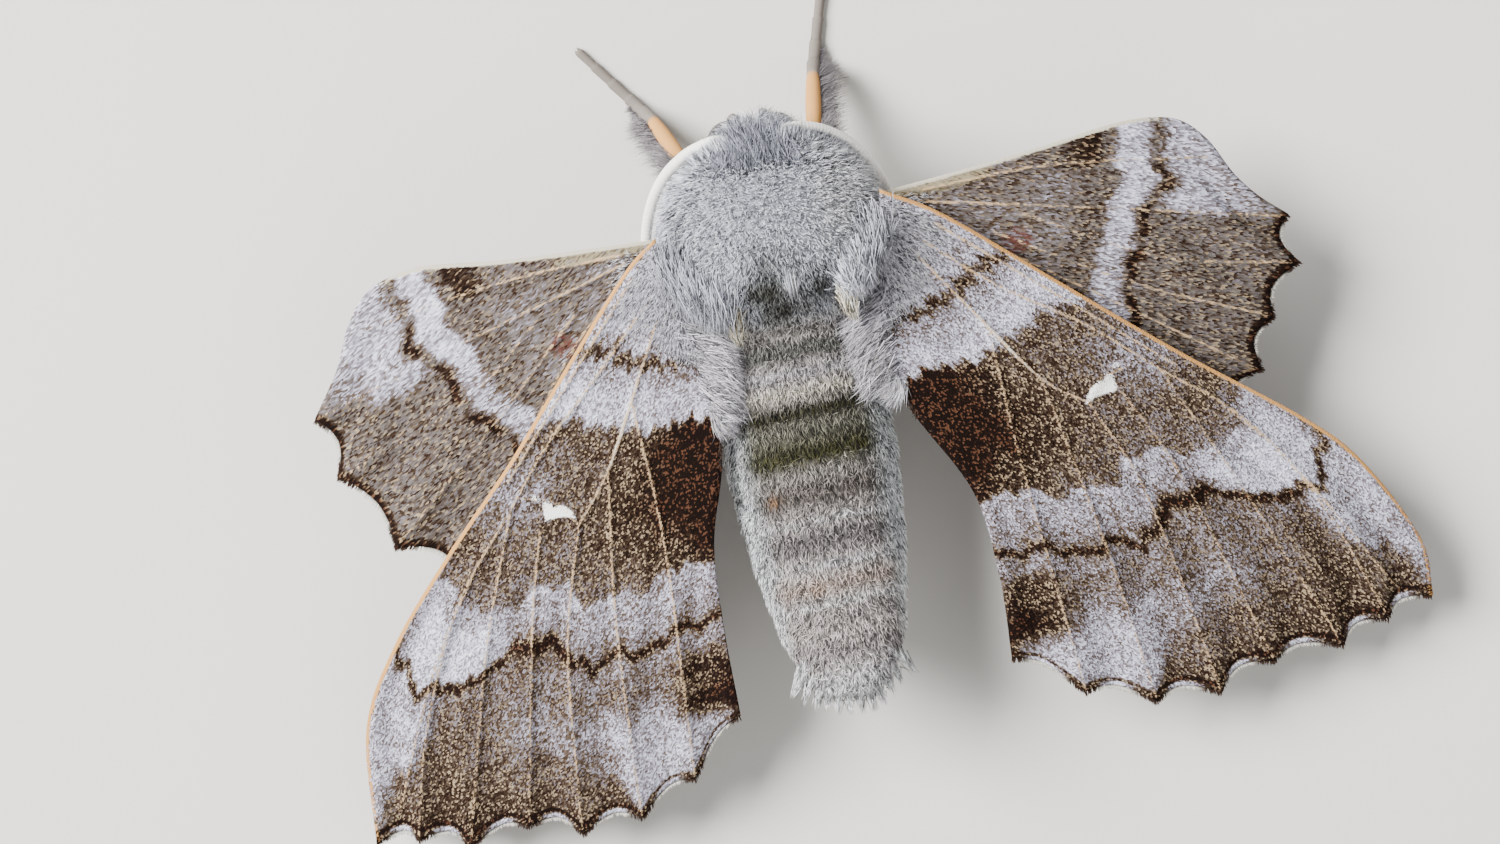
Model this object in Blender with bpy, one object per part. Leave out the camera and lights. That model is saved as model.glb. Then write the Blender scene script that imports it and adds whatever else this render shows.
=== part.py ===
"""Poplar hawk moth at rest, a life-size museum model.

The moth stands on six feet with its forewings spread back over the abdomen and the front
edge of each hindwing pushed out ahead of them. +Y is forwards, +X is the moth's right and
+Z is up; the feet stand on z = 0. Every size below is in millimetres and becomes metres
where a mesh is made.
"""

import math

import bmesh
import bpy
import numpy as np
from mathutils import Vector, geometry

MM = 0.001
GAP = 0.3
MEMBRANE = 0.5
VEIN_HEIGHT = 0.34
VEIN_HALF_WIDTH = 0.38
SCALLOP_SHARPNESS = 1.7
BODY_SIDES = 20
EYE_SIDES = 16
EYE_RINGS = 11
# How many rings each bar or body part has along its length.
RINGS = {"head": 10, "thorax": 16, "antenna": 25, "femur": 7, "tibia": 5, "tarsus": 8}
BAR_SIDES = {"antenna": 7, "palp": 8, "leg": 8}
SAMPLES = 20
SCALLOP_POINTS = 6
BODY_POWER = 2.25

# Rows of a body part are y, half width, underside and top.
THORAX = [
    (14.2, 3.8, 5.8, 12.4),
    (13.5, 4.8, 5.2, 13.3),
    (12.2, 5.7, 4.5, 14.2),
    (10.4, 6.2, 4.0, 15.0),
    (8.6, 6.3, 3.9, 15.3),
    (6.9, 5.8, 4.0, 14.7),
    (5.2, 4.9, 4.2, 12.7),
]
HEAD = [
    (14.5, 2.3, 5.9, 11.4),
    (15.1, 2.4, 5.6, 11.5),
    (15.6, 2.1, 5.8, 11.1),
    (16.0, 1.5, 6.6, 10.4),
    (16.25, 0.7, 8.2, 9.9),
]
ABDOMEN = [
    (4.9, 4.2, 4.1, 11.9),
    (2.6, 4.5, 3.2, 11.5),
    (-2.3, 4.8, 2.1, 10.8),
    (-5.5, 4.6, 1.9, 10.2),
    (-8.4, 4.3, 2.2, 9.9),
    (-10.8, 3.85, 3.0, 9.8),
    (-12.8, 3.4, 4.3, 10.0),
    (-14.6, 2.9, 5.9, 10.4),
    (-15.6, 2.5, 7.0, 10.5),
    (-16.2, 1.9, 7.8, 10.3),
]
ABDOMEN_SEGMENTS = 8
SEGMENT_STEP = 0.035
SEGMENT_RINGS = (0.0, 0.45, 0.94)

EYE_RADIUS = 1.2
EYE_CENTRE = (1.35, 15.6, 8.1)
EYE_CUT = 1.5
PALP = [(0.75, 16.7, 7.3), (0.85, 16.95, 6.7), (0.9, 16.85, 5.9)]
PALP_RADII = [0.42, 0.42, 0.28]

ANTENNA = [
    (1.35, 15.35, 11.8),
    (2.05, 15.55, 12.0),
    (2.9, 15.45, 11.6),
    (3.95, 15.1, 10.9),
    (5.15, 14.3, 10.0),
    (6.1, 13.1, 9.1),
    (6.75, 11.6, 8.2),
    (7.1, 9.8, 7.5),
    (7.2, 8.0, 7.0),
    (7.1, 6.4, 6.7),
]
ANTENNA_RADII = [0.27, 0.3, 0.31, 0.32, 0.33, 0.32, 0.31, 0.29, 0.26, 0.14]

# Each leg: side, where its hip sits on the thorax (y and angle from straight out, down being
# negative), its knee, its ankle and the points along its foot.
LEGS = {
    "foreleg_left": (
        -1, 12.4, -58, (4.0, 15.0, 4.6), (5.35, 18.0, 1.9),
        [(6.3, 19.4, 0.36), (8.9, 22.9, 0.22)],
    ),
    "foreleg_right": (
        1, 12.4, -58, (3.5, 15.2, 4.6), (4.15, 18.9, 1.9),
        [(4.6, 20.5, 0.36), (5.9, 24.9, 0.22)],
    ),
    "midleg_left": (
        -1, 10.4, -52, (8.4, 10.6, 5.0), (12.0, 9.6, 1.6),
        [(13.2, 9.3, 0.34), (16.6, 8.6, 0.22)],
    ),
    "midleg_right": (
        1, 10.4, -52, (8.4, 10.6, 5.0), (12.0, 9.6, 1.6),
        [(13.2, 9.3, 0.34), (16.6, 8.6, 0.22)],
    ),
    "hindleg_left": (
        -1, 7.6, -52, (7.6, 4.6, 5.0), (10.0, -1.2, 1.6),
        [(10.5, -2.3, 0.34), (12.2, -5.8, 0.22)],
    ),
    "hindleg_right": (
        1, 7.6, -52, (7.6, 4.6, 5.0), (10.0, -1.2, 1.6),
        [(10.5, -2.3, 0.34), (12.2, -5.8, 0.22)],
    ),
}
LEG_RADII = {"femur": (0.55, 0.62, 0.5), "tibia": (0.5, 0.56, 0.4), "tarsus": (0.38, 0.34, 0.28)}
HIP_REACH = 1.5

# Each wing in plan: x outward from the body's axis, y forwards. "plane" is the root point, the
# direction of the tip, the height at the root and the fall for each millimetre outwards.
WINGS = {
    "forewing_right": {
        "side": 1,
        "plane": ((6.2, 11.6), (33.6, -16.9), 11.8, 0.228),
        "root": (11.3, 5.5),
        "leading": [
            (9.6, 9.3), (15.3, 4.5), (21.4, -0.6), (27.6, -5.4), (30.6, -8.5), (33.3, -13.5), (33.5, -16.9),
        ],
        "tips": [(33.5, -16.9), (30.7, -17.7), (27.8, -18.7), (23.7, -18.8), (20.4, -20.0), (16.7, -19.8),
                 (12.8, -18.5), (9.0, -15.8)],
        "trailing": [(9.0, -15.8), (9.1, -11.3), (8.5, -6.2), (5.9, -1.1), (4.7, 2.4)],
        "depth": 0.75,
        "veins": {
            "subcosta": [(9.0, 8.9), (15.0, 3.8), (21.0, -1.3)],
            "radius": [(7.6, 8.6), (11.7, 5.0), (16.3, 1.9), (20.0, -1.3)],
            "radius_tip": [(20.0, -1.3), (24.4, -5.0), (27.9, -10.5), (30.5, -17.0)],
            "media_first": [(20.0, -1.3), (23.2, -8.0), (27.5, -17.9)],
            "media_second": [(17.7, -2.2), (20.3, -7.7), (23.6, -18.0)],
            "cubitus": [(7.4, 7.8), (10.1, 3.9), (13.3, -0.6), (15.7, -2.4)],
            "media_third": [(15.7, -2.4), (18.1, -8.1), (20.3, -19.2)],
            "cubitus_first": [(13.3, -0.6), (15.2, -9.9), (16.7, -19.0)],
            "cubitus_second": [(10.9, 2.6), (11.4, -5.0), (12.7, -17.7)],
            "cell_end": [(19.0, -0.7), (16.8, -1.2), (15.7, -2.4)],
        },
    },
    "forewing_left": {
        "side": -1,
        "plane": ((6.2, 10.7), (28.5, -19.8), 11.8, 0.25),
        "root": (10.9, 5.5),
        "leading": [
            (8.3, 9.4), (12.3, 5.1), (16.6, 0.3), (21.0, -4.1), (25.1, -8.7), (27.7, -13.2), (28.5, -19.8),
        ],
        "tips": [(28.5, -19.8), (26.0, -20.0), (23.2, -20.9), (19.7, -20.3), (16.7, -21.3), (13.2, -21.0),
                 (9.8, -19.3), (6.6, -16.2)],
        "trailing": [(6.6, -16.2), (6.6, -11.5), (6.3, -6.5), (5.0, -2.0), (4.5, 2.2)],
        "depth": 0.75,
        "veins": {
            "subcosta": [(8.0, 8.9), (12.0, 4.6), (17.0, -0.9)],
            "radius": [(7.0, 7.9), (11.1, 3.9), (14.4, 0.8), (17.1, -2.4)],
            "radius_tip": [(17.1, -2.4), (21.0, -7.0), (24.2, -13.6), (25.9, -19.2)],
            "media_first": [(17.1, -2.4), (20.0, -9.9), (22.8, -20.1)],
            "media_second": [(15.7, -3.9), (17.1, -8.7), (19.5, -19.5)],
            "cubitus": [(6.7, 7.1), (8.4, 4.0), (11.3, -1.2), (13.5, -3.9)],
            "media_third": [(13.5, -3.9), (15.5, -10.8), (16.6, -20.5)],
            "cubitus_first": [(11.3, -1.2), (12.5, -9.6), (13.2, -20.2)],
            "cubitus_second": [(9.3, 2.2), (9.0, -6.0), (9.7, -18.5)],
            "cell_end": [(16.4, -1.9), (14.6, -2.4), (13.5, -3.9)],
        },
    },
    "hindwing_right": {
        "side": 1,
        "plane": ((6.4, 10.6), (29.5, 3.0), 10.2, 0.22),
        "root": (11.2, 8.2),
        "leading": [
            (11.0, 11.6), (15.7, 12.1), (20.4, 12.7), (23.4, 12.4), (25.1, 11.0), (26.3, 8.8), (27.5, 7.3),
            (29.0, 6.0),
        ],
        "tips": [(29.0, 6.0), (29.1, 3.2), (27.1, 0.4), (25.9, -2.4), (23.4, -4.6)],
        "trailing": [(23.4, -4.6), (17.0, -1.5), (10.4, 4.8), (7.4, 7.4)],
        "depth": 0.7,
        "veins": {
            "subcosta": [(8.6, 10.9), (16.0, 11.0), (24.6, 9.9)],
            "radius": [(8.4, 10.3), (17.3, 8.4), (28.2, 5.9)],
            "media_first": [(14.0, 8.6), (21.2, 4.9), (28.3, 3.1)],
            "media_third": [(12.2, 7.9), (19.7, 3.6), (26.4, 0.5)],
            "cubitus": [(8.4, 9.3), (14.0, 5.8), (25.2, -2.1)],
        },
    },
    "hindwing_left": {
        "side": -1,
        "plane": ((6.4, 10.0), (25.0, -1.0), 10.2, 0.24),
        "root": (10.9, 7.9),
        "leading": [
            (10.6, 11.1), (15.1, 11.4), (19.6, 11.9), (22.5, 11.3), (24.2, 9.6), (25.4, 7.2), (27.2, 4.7),
        ],
        "tips": [(27.2, 4.7), (26.5, 1.2), (24.0, -3.3), (20.6, -5.4), (17.6, -6.6)],
        "trailing": [(17.6, -6.6), (13.2, -2.5), (9.4, 3.6), (7.2, 7.1)],
        "depth": 0.7,
        "veins": {
            "subcosta": [(8.4, 10.4), (15.0, 10.2), (23.4, 9.0)],
            "radius": [(8.2, 9.9), (16.4, 7.7), (26.4, 4.7)],
            "media_first": [(13.6, 7.8), (18.3, 4.2), (25.8, 1.3)],
            "media_third": [(11.6, 7.6), (17.0, 2.6), (23.4, -2.9)],
            "cubitus": [(8.2, 9.0), (12.4, 5.3), (20.0, -4.8)],
        },
    },
}
CAMBER_ALONG = 0.5
CAMBER_ACROSS = 0.004
ROOT_POINTS = 6
OUTLINE_STEP = 1.9
VEIN_STEP = 2.2

# Locks of long hair. "size" is a lock's width and thickness, "lift" how far it arches, "uneven" how
# much its tip wanders. "root" and "tip" are where the first lock starts and ends, and "root_run" and
# "tip_run" how far these move by the last lock.
CREST = {
    "count": 9, "size": (0.95, 0.55), "lift": 0.3, "uneven": 0.1, "turn": 66,
    "root": (1.1, 15.15, 10.85), "tip": (2.3, 15.25, 11.15), "tip_ahead": 1.6, "tip_fall": 0.4,
}
SHOULDER = {
    "count": 7, "size": (1.15, 0.6), "lift": 0.55, "uneven": 0.4, "tiers": ((0.0, 0.0), (-1.0, -0.35)),
    "root": (3.2, 7.9, 14.3), "root_run": (1.9, 1.1, -1.6),
    "tip": (3.1, 4.7, 13.2), "tip_run": (2.1, 0.5, -0.6),
}
BACK = {
    "count": 5, "size": (1.2, 0.6), "lift": 0.5, "uneven": 0.15,
    "root": (1.9, 8.2, 14.6), "tip": (1.1, 5.5, 14.2), "tip_run": 0.9,
}
TAIL = {
    "count": 9, "size": (1.1, 0.6), "lift": 0.2, "uneven": 0.2, "tiers": ((9.7, 1.0), (8.6, 0.9)),
    "root": (1.7, -14.9), "tip": (3.45, -17.4), "tip_run": 1.4, "tip_rise": 0.5,
}
FRINGE = {
    "count": 5, "size": (0.9, 0.5), "lift": 0.12, "uneven": 0.15,
    "span": (0.15, 0.8), "tip": (1.35, 0.9, -0.35),
}
LOCK_STEPS = (0.0, 0.35, 0.7, 1.0)
LOCK_WIDTHS = (0.75, 1.0, 0.7, 0.12)
SEED = 11

COLOURS = {
    "fur_grey": ((0.33, 0.33, 0.36), 0.9),
    "wing_grey": ((0.31, 0.27, 0.27), 0.8),
    "wing_brown": ((0.16, 0.11, 0.08), 0.8),
    "feeler_white": ((0.78, 0.75, 0.70), 0.7),
    "leg_buff": ((0.55, 0.36, 0.18), 0.7),
    "eye_dark": ((0.02, 0.015, 0.01), 0.25),
}


def clear_scene():
    """Removes every object that the file opened with."""
    for item in list(bpy.data.objects):
        bpy.data.objects.remove(item, do_unlink=True)


def material(name):
    """One Principled material by its name in COLOURS."""
    found = bpy.data.materials.get(name)
    if found:
        return found
    colour, roughness = COLOURS[name]
    made = bpy.data.materials.new(name)
    made.use_nodes = True
    shader = made.node_tree.nodes["Principled BSDF"]
    shader.inputs["Base Color"].default_value = (*colour, 1.0)
    shader.inputs["Roughness"].default_value = roughness
    shader.inputs["Metallic"].default_value = 0.0
    return made


def solid(name, points, faces, finish):
    """A named object from points in millimetres, its faces turned to point outwards."""
    mesh = bpy.data.meshes.new(name)
    mesh.from_pydata([Vector(p) * MM for p in points], [], faces)
    work = bmesh.new()
    work.from_mesh(mesh)
    bmesh.ops.recalc_face_normals(work, faces=work.faces)
    bmesh.ops.triangulate(work, faces=work.faces)
    work.to_mesh(mesh)
    work.free()
    mesh.materials.append(material(finish))
    made = bpy.data.objects.new(name, mesh)
    bpy.context.scene.collection.objects.link(made)
    return made


def curve(points, count):
    """Evenly spaced parameters on a Catmull-Rom curve that passes through every point."""
    knots = np.array(points, float)
    padded = np.vstack([2 * knots[0] - knots[1], knots, 2 * knots[-1] - knots[-2]])
    place = np.linspace(0, len(knots) - 1, count)
    left = np.minimum(place.astype(int), len(knots) - 2)
    t = (place - left)[:, None]
    a, b, c, d = (padded[left + shift] for shift in range(4))
    square = 2 * a - 5 * b + 4 * c - d
    cube = 3 * b - a - 3 * c + d
    return 0.5 * (2 * b + (c - a) * t + square * t**2 + cube * t**3)


def bend(start, middle, end, count):
    """Points on the smooth bend that leaves start towards middle and comes into end from it."""
    steps = [i / (count - 1) for i in range(count)]
    return [start.lerp(middle, t).lerp(middle.lerp(end, t), t) for t in steps]


def spaced(points, step):
    """A smooth curve through the points with about one point every step millimetres."""
    length = float(np.linalg.norm(np.diff(np.array(points, float), axis=0), axis=1).sum())
    return curve(points, max(3, round(length / step) + 1))


def section(row, scale=1.0):
    """One ring of a body part, a superellipse in the plane y = row[0]."""
    y, half, low, high = row
    middle, rise = (low + high) / 2, (high - low) / 2
    angle = np.arange(BODY_SIDES) * 2 * math.pi / BODY_SIDES
    across = np.sign(np.cos(angle)) * np.abs(np.cos(angle)) ** (2 / BODY_POWER)
    upward = np.sign(np.sin(angle)) * np.abs(np.sin(angle)) ** (2 / BODY_POWER)
    return np.column_stack([half * scale * across, np.full(BODY_SIDES, y), middle + rise * scale * upward])


def skin_rings(rings):
    """Points and faces of a closed tube through equal rings, its two ends capped flat."""
    sides = len(rings[0])
    points = np.vstack(rings)
    faces = [tuple(range(sides)), tuple(range(len(points) - sides, len(points)))]
    for ring in range(len(rings) - 1):
        start = ring * sides
        for side in range(sides):
            following = (side + 1) % sides
            faces.append((start + side, start + following, start + sides + following, start + sides + side))
    return points, faces


def row_at(stations, y):
    """Half width, underside and top of a body part at y."""
    rows = curve(stations, SAMPLES * len(stations))[::-1]
    return [float(np.interp(y, rows[:, 0], rows[:, column])) for column in (1, 2, 3)]


def side_at(stations, y, z):
    """How far out the surface of a body part is at y and z."""
    half, low, high = row_at(stations, y)
    level = min(abs(z - (low + high) / 2) / ((high - low) / 2), 0.999)
    return half * (1 - level**BODY_POWER) ** (1 / BODY_POWER)


def spot_on(stations, y, degrees):
    """A point on a body part's surface and the direction that it faces, for the moth's right."""
    half, low, high = row_at(stations, y)
    turn = math.radians(degrees)
    rise = (high - low) / 2
    x = half * math.cos(turn) ** (2 / BODY_POWER)
    z = (low + high) / 2 + math.copysign(rise * abs(math.sin(turn)) ** (2 / BODY_POWER), turn)
    facing = Vector((math.cos(turn) / half, 0, math.sin(turn) / rise)).normalized()
    return Vector((x, y, z)), facing


def body_part(name, stations, count, finish):
    """A closed body part through its stations."""
    rings = [section(row) for row in curve(stations, count)]
    return solid(name, *skin_rings(rings), finish)


def make_abdomen():
    """The abdomen, each of its rings a little wider at its rear edge than where the next begins."""
    rows = curve(ABDOMEN, ABDOMEN_SEGMENTS * SAMPLES + 1)
    rings = []
    for segment in range(ABDOMEN_SEGMENTS):
        for step in SEGMENT_RINGS:
            row = rows[int((segment + step) * SAMPLES)]
            rings.append(section(row, 1 - SEGMENT_STEP * (1 - step)))
    rings.append(section(rows[-1], 1.0))
    return solid("abdomen", *skin_rings(rings), "fur_grey")


def frames(path, first=None, last=None):
    """Directions along a path and two directions square to each, turned as little as possible."""
    steps = [(b - a).normalized() for a, b in zip(path, path[1:])]
    ahead = [first or steps[0]]
    ahead += [(a + b).normalized() for a, b in zip(steps, steps[1:])]
    ahead.append(last or steps[-1])
    side = ahead[0].orthogonal().normalized()
    made = []
    for direction in ahead:
        side = (side - side.dot(direction) * direction).normalized()
        made.append((direction, side, direction.cross(side)))
    return made


def tube(name, path, radii, sides, finish, first=None, last=None, floor=None):
    """A round bar along a path; where a floor is given it is flat where it meets it."""
    path = [Vector(p) for p in path]
    rings = []
    for centre, radius, (_, side, up) in zip(path, map(float, radii), frames(path, first, last)):
        ring = []
        for step in range(sides):
            turn = 2 * math.pi * (step + 0.5) / sides
            point = centre + radius * (math.cos(turn) * side + math.sin(turn) * up)
            if floor is not None:
                point.z = max(point.z, floor)
            ring.append(tuple(point))
        rings.append(np.array(ring))
    return solid(name, *skin_rings(rings), finish)


def lock(root, tip, lift, width, thick):
    """Points and faces of one flat tapered lock from root to tip, arched upwards by lift."""
    root, tip = Vector(root), Vector(tip)
    path = [root.lerp(tip, step) + Vector((0, 0, lift * math.sin(math.pi * step))) for step in LOCK_STEPS]
    rings = []
    for centre, factor, (ahead, _, _) in zip(path, LOCK_WIDTHS, frames(path)):
        side = ahead.cross(Vector((0, 0, 1))).normalized() * width * factor / 2
        up = side.cross(ahead).normalized() * thick * factor / 2
        rings.append(np.array([centre + side, centre + up, centre - side, centre - up]))
    return skin_rings(rings)


def fuse(item, locks):
    """Joins locks to an object with one Boolean union and keeps the largest closed surface."""
    group = bpy.data.collections.new(item.name + "_locks")
    bpy.context.scene.collection.children.link(group)
    for number, shape in enumerate(locks):
        piece = solid(f"{item.name}_lock_{number}", *shape, "fur_grey")
        bpy.context.scene.collection.objects.unlink(piece)
        group.objects.link(piece)
    union = item.modifiers.new("locks", "BOOLEAN")
    union.operation = "UNION"
    union.operand_type = "COLLECTION"
    union.collection = group
    union.solver = "MANIFOLD"
    shape = bpy.data.meshes.new_from_object(item.evaluated_get(bpy.context.evaluated_depsgraph_get()))
    item.modifiers.clear()
    item.data = shape
    for piece in list(group.objects):
        bpy.data.objects.remove(piece, do_unlink=True)
    bpy.data.collections.remove(group)
    keep_largest(item)


def keep_largest(item):
    """Drops every closed surface of an object but its largest."""
    work = bmesh.new()
    work.from_mesh(item.data)
    left = set(work.verts)
    shells = []
    while left:
        shell, queue = set(), [left.pop()]
        while queue:
            vertex = queue.pop()
            shell.add(vertex)
            for edge in vertex.link_edges:
                other = edge.other_vert(vertex)
                if other in left:
                    left.remove(other)
                    queue.append(other)
        shells.append(shell)
    largest = max(shells, key=len)
    bmesh.ops.delete(work, geom=[v for v in work.verts if v not in largest], context="VERTS")
    bmesh.ops.triangulate(work, faces=work.faces)
    work.to_mesh(item.data)
    work.free()


def mirrored(points, side):
    """Points with x turned to the moth's left where side is -1."""
    return [(p[0] * side, *p[1:]) for p in points]


def make_antenna(name, side):
    """A feeler swept back round the shoulder and in under the wings."""
    path = curve(mirrored(ANTENNA, side), RINGS["antenna"])
    radii = curve([(r,) for r in ANTENNA_RADII], RINGS["antenna"])[:, 0]
    return tube(name, path, radii, BAR_SIDES["antenna"], "feeler_white")


def cut_flat(item, point, outward):
    """Cuts an object with a plane, drops what lies outward of it and closes the cut."""
    work = bmesh.new()
    work.from_mesh(item.data)
    everything = work.verts[:] + work.edges[:] + work.faces[:]
    cut = bmesh.ops.bisect_plane(work, geom=everything, plane_co=Vector(point) * MM, plane_no=outward,
                                 clear_outer=True)
    rim = [e for e in cut["geom_cut"] if isinstance(e, bmesh.types.BMEdge)]
    bmesh.ops.edgeloop_fill(work, edges=rim)
    bmesh.ops.recalc_face_normals(work, faces=work.faces)
    bmesh.ops.triangulate(work, faces=work.faces)
    work.to_mesh(item.data)
    work.free()


def make_head():
    """The head, flat on both sides where the eyes meet it."""
    head = body_part("head", HEAD, RINGS["head"], "fur_grey")
    for side in (-1, 1):
        cut_flat(head, (side * EYE_CUT, 0, 0), (side, 0, 0))
    return head


def add_crest(head, random):
    """The tuft that fans forwards over the face, its outer locks under the feelers."""
    locks = []
    for turn in np.radians(np.linspace(-CREST["turn"], CREST["turn"], CREST["count"])):
        out, ahead = math.sin(turn), math.cos(turn)
        root = (CREST["root"][0] * out, *CREST["root"][1:])
        wander = random.uniform(-CREST["uneven"], CREST["uneven"])
        tip = (CREST["tip"][0] * out, CREST["tip"][1] + CREST["tip_ahead"] * ahead + wander,
               CREST["tip"][2] - CREST["tip_fall"] * out * out)
        locks.append(lock(root, tip, CREST["lift"], *CREST["size"]))
    fuse(head, locks)


def shoulder_lock(side, place, back, down, random):
    """One lock of a shoulder; place runs from 0 at the middle of the back to 1 at the side."""
    root, tip = (np.array(SHOULDER[end]) + np.multiply(SHOULDER[end + "_run"], (place, place, bent))
                 for end, bent in (("root", place**2), ("tip", place)))
    wander = random.uniform(-SHOULDER["uneven"], SHOULDER["uneven"])
    root += (0, back, down)
    tip += (0, back + wander, down)
    return lock(root * (side, 1, 1), tip * (side, 1, 1), SHOULDER["lift"], *SHOULDER["size"])


def add_back_locks(thorax, random):
    """The long hair that trails from the shoulders in two tiers and from the middle of the back."""
    locks = []
    for back, down in SHOULDER["tiers"]:
        for side in (-1, 1):
            for place in np.linspace(0, 1, SHOULDER["count"]):
                locks.append(shoulder_lock(side, place, back, down, random))
    for place in np.linspace(-1, 1, BACK["count"]):
        wander = random.uniform(-BACK["uneven"], BACK["uneven"])
        root = (BACK["root"][0] * place, *BACK["root"][1:])
        end = BACK["tip"][1] + BACK["tip_run"] * abs(place) + wander
        locks.append(lock(root, (BACK["tip"][0] * place, end, BACK["tip"][2]), BACK["lift"], *BACK["size"]))
    fuse(thorax, locks)


def add_tail(abdomen, random):
    """The fan of hair at the end of the abdomen, in an upper and a lower row."""
    locks = []
    for level, reach in TAIL["tiers"]:
        for place in np.linspace(-1, 1, TAIL["count"]):
            wander = random.uniform(-TAIL["uneven"], TAIL["uneven"])
            end = TAIL["tip"][1] + TAIL["tip_run"] * place**2 + wander
            root = (TAIL["root"][0] * place, TAIL["root"][1], level)
            tip = (TAIL["tip"][0] * place * reach, end, level + TAIL["tip_rise"])
            locks.append(lock(root, tip, TAIL["lift"], *TAIL["size"]))
    fuse(abdomen, locks)


def add_fringe(tibia, knee, ankle, side, random):
    """Short locks along the outer side of a foreleg's tibia."""
    out, ahead, down = FRINGE["tip"]
    locks = []
    for place in np.linspace(*FRINGE["span"], FRINGE["count"]):
        root = knee.lerp(ankle, place)
        tip = root + Vector((side * out, ahead + random.uniform(-FRINGE["uneven"], FRINGE["uneven"]), down))
        locks.append(lock(root, tip, FRINGE["lift"], *FRINGE["size"]))
    fuse(tibia, locks)


def make_eye(name, side):
    """A round eye, flat where it meets the side of the head."""
    mesh = bpy.data.meshes.new(name)
    work = bmesh.new()
    bmesh.ops.create_uvsphere(work, u_segments=EYE_SIDES, v_segments=EYE_RINGS, radius=EYE_RADIUS * MM)
    centre = Vector((side * EYE_CENTRE[0], EYE_CENTRE[1], EYE_CENTRE[2])) * MM
    bmesh.ops.translate(work, verts=work.verts, vec=centre)
    work.to_mesh(mesh)
    work.free()
    mesh.materials.append(material("eye_dark"))
    eye = bpy.data.objects.new(name, mesh)
    bpy.context.scene.collection.objects.link(eye)
    cut_flat(eye, (side * (EYE_CUT + GAP), 0, 0), (-side, 0, 0))
    return eye


def make_leg(name, random):
    """One leg in three pieces that meet face to face: femur, tibia and the foot on its flat sole."""
    side, hip_y, hip_turn, knee, ankle, foot = LEGS[name]
    hip, facing = spot_on(THORAX, hip_y, hip_turn)
    hip.x *= side
    facing.x *= side
    knee, ankle, *foot = (Vector(p) for p in mirrored([knee, ankle, *foot], side))
    start = hip + facing * GAP
    out = start + facing * HIP_REACH
    at_knee = ((knee - out).normalized() + (ankle - knee).normalized()).normalized()
    at_ankle = ((ankle - knee).normalized() + (foot[0] - ankle).normalized()).normalized()
    half = GAP / 2
    femur = bend(start, out, knee - at_knee * half, RINGS["femur"])
    middle = (knee + ankle) / 2
    tibia = curve([knee + at_knee * half, middle, ankle - at_ankle * half], RINGS["tibia"])
    tarsus = curve([ankle + at_ankle * half, *foot], RINGS["tarsus"])
    pieces = (
        ("femur", femur, facing, at_knee),
        ("tibia", tibia, at_knee, at_ankle),
        ("tarsus", tarsus, at_ankle, None),
    )
    for piece, path, first, last in pieces:
        radii = np.interp(np.linspace(0, 2, len(path)), (0, 1, 2), LEG_RADII[piece])
        made = tube(f"{name}_{piece}", path, radii, BAR_SIDES["leg"], "leg_buff", first, last, 0.0)
        if name.startswith("fore") and piece == "tibia":
            add_fringe(made, knee, ankle, side, random)


def height_of(plane):
    """The height of a wing's middle layer over a point in plan."""
    root, tip, top, fall = plane
    root = np.array(root)
    reach = np.array(tip) - root
    length = float(np.linalg.norm(reach))
    along = reach / length
    across = np.array([along[1], -along[0]])

    def height(x, y):
        offset = np.array([x, y]) - root
        out = float(offset @ along)
        back = float(offset @ across)
        arch = CAMBER_ALONG * math.sin(math.pi * min(max(out / length, 0), 1))
        return top - fall * out + arch - CAMBER_ACROSS * back * back

    return height


def scallop(start, end, inward, depth):
    """Points from one vein tip to the next along a margin that curves in between them."""
    t = np.linspace(0, 1, SCALLOP_POINTS)[:-1]
    dip = depth * (1 - np.abs(2 * t - 1) ** SCALLOP_SHARPNESS)
    line = np.outer(1 - t, start) + np.outer(t, end)
    return line + dip[:, None] * inward


def wing_outline(wing, height):
    """The wing's edge in plan, from the front of its root round to the rear of its root."""
    front, rear = wing["root"]
    root = []
    for y in np.linspace(rear, front, ROOT_POINTS):
        level = height(side_at(THORAX, y, wing["plane"][2]), y) - MEMBRANE / 2
        root.append((side_at(THORAX, y, level) + GAP, y))
    leading = spaced([root[-1], *wing["leading"]], OUTLINE_STEP)
    tips = np.array(wing["tips"], float)
    middle = np.array(wing["plane"][0])
    margin = []
    for start, end in zip(tips, tips[1:]):
        inward = middle - (start + end) / 2
        margin.append(scallop(start, end, inward / np.linalg.norm(inward), wing["depth"]))
    trailing = spaced([*wing["trailing"], root[0]], OUTLINE_STEP)
    return np.vstack([leading[:-1], *margin, trailing[:-1], root[:-1]])


def vein_lines(points):
    """A vein's crest and its two feet, which meet at both ends."""
    crest = spaced(points, VEIN_STEP)
    ahead = np.gradient(crest, axis=0)
    ahead /= np.linalg.norm(ahead, axis=1)[:, None]
    square = np.column_stack([-ahead[:, 1], ahead[:, 0]])
    width = np.full(len(crest), VEIN_HALF_WIDTH)
    width[[0, -1]] = 0
    return crest, crest + square * width[:, None], crest - square * width[:, None]


def distance(point, line):
    """How far a point in plan is from a line of points."""
    a, b = line[:-1], line[1:]
    run = b - a
    t = np.clip(((point - a) * run).sum(1) / (run * run).sum(1), 0, 1)
    return float(np.linalg.norm(a + run * t[:, None] - point, axis=1).min())


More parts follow.
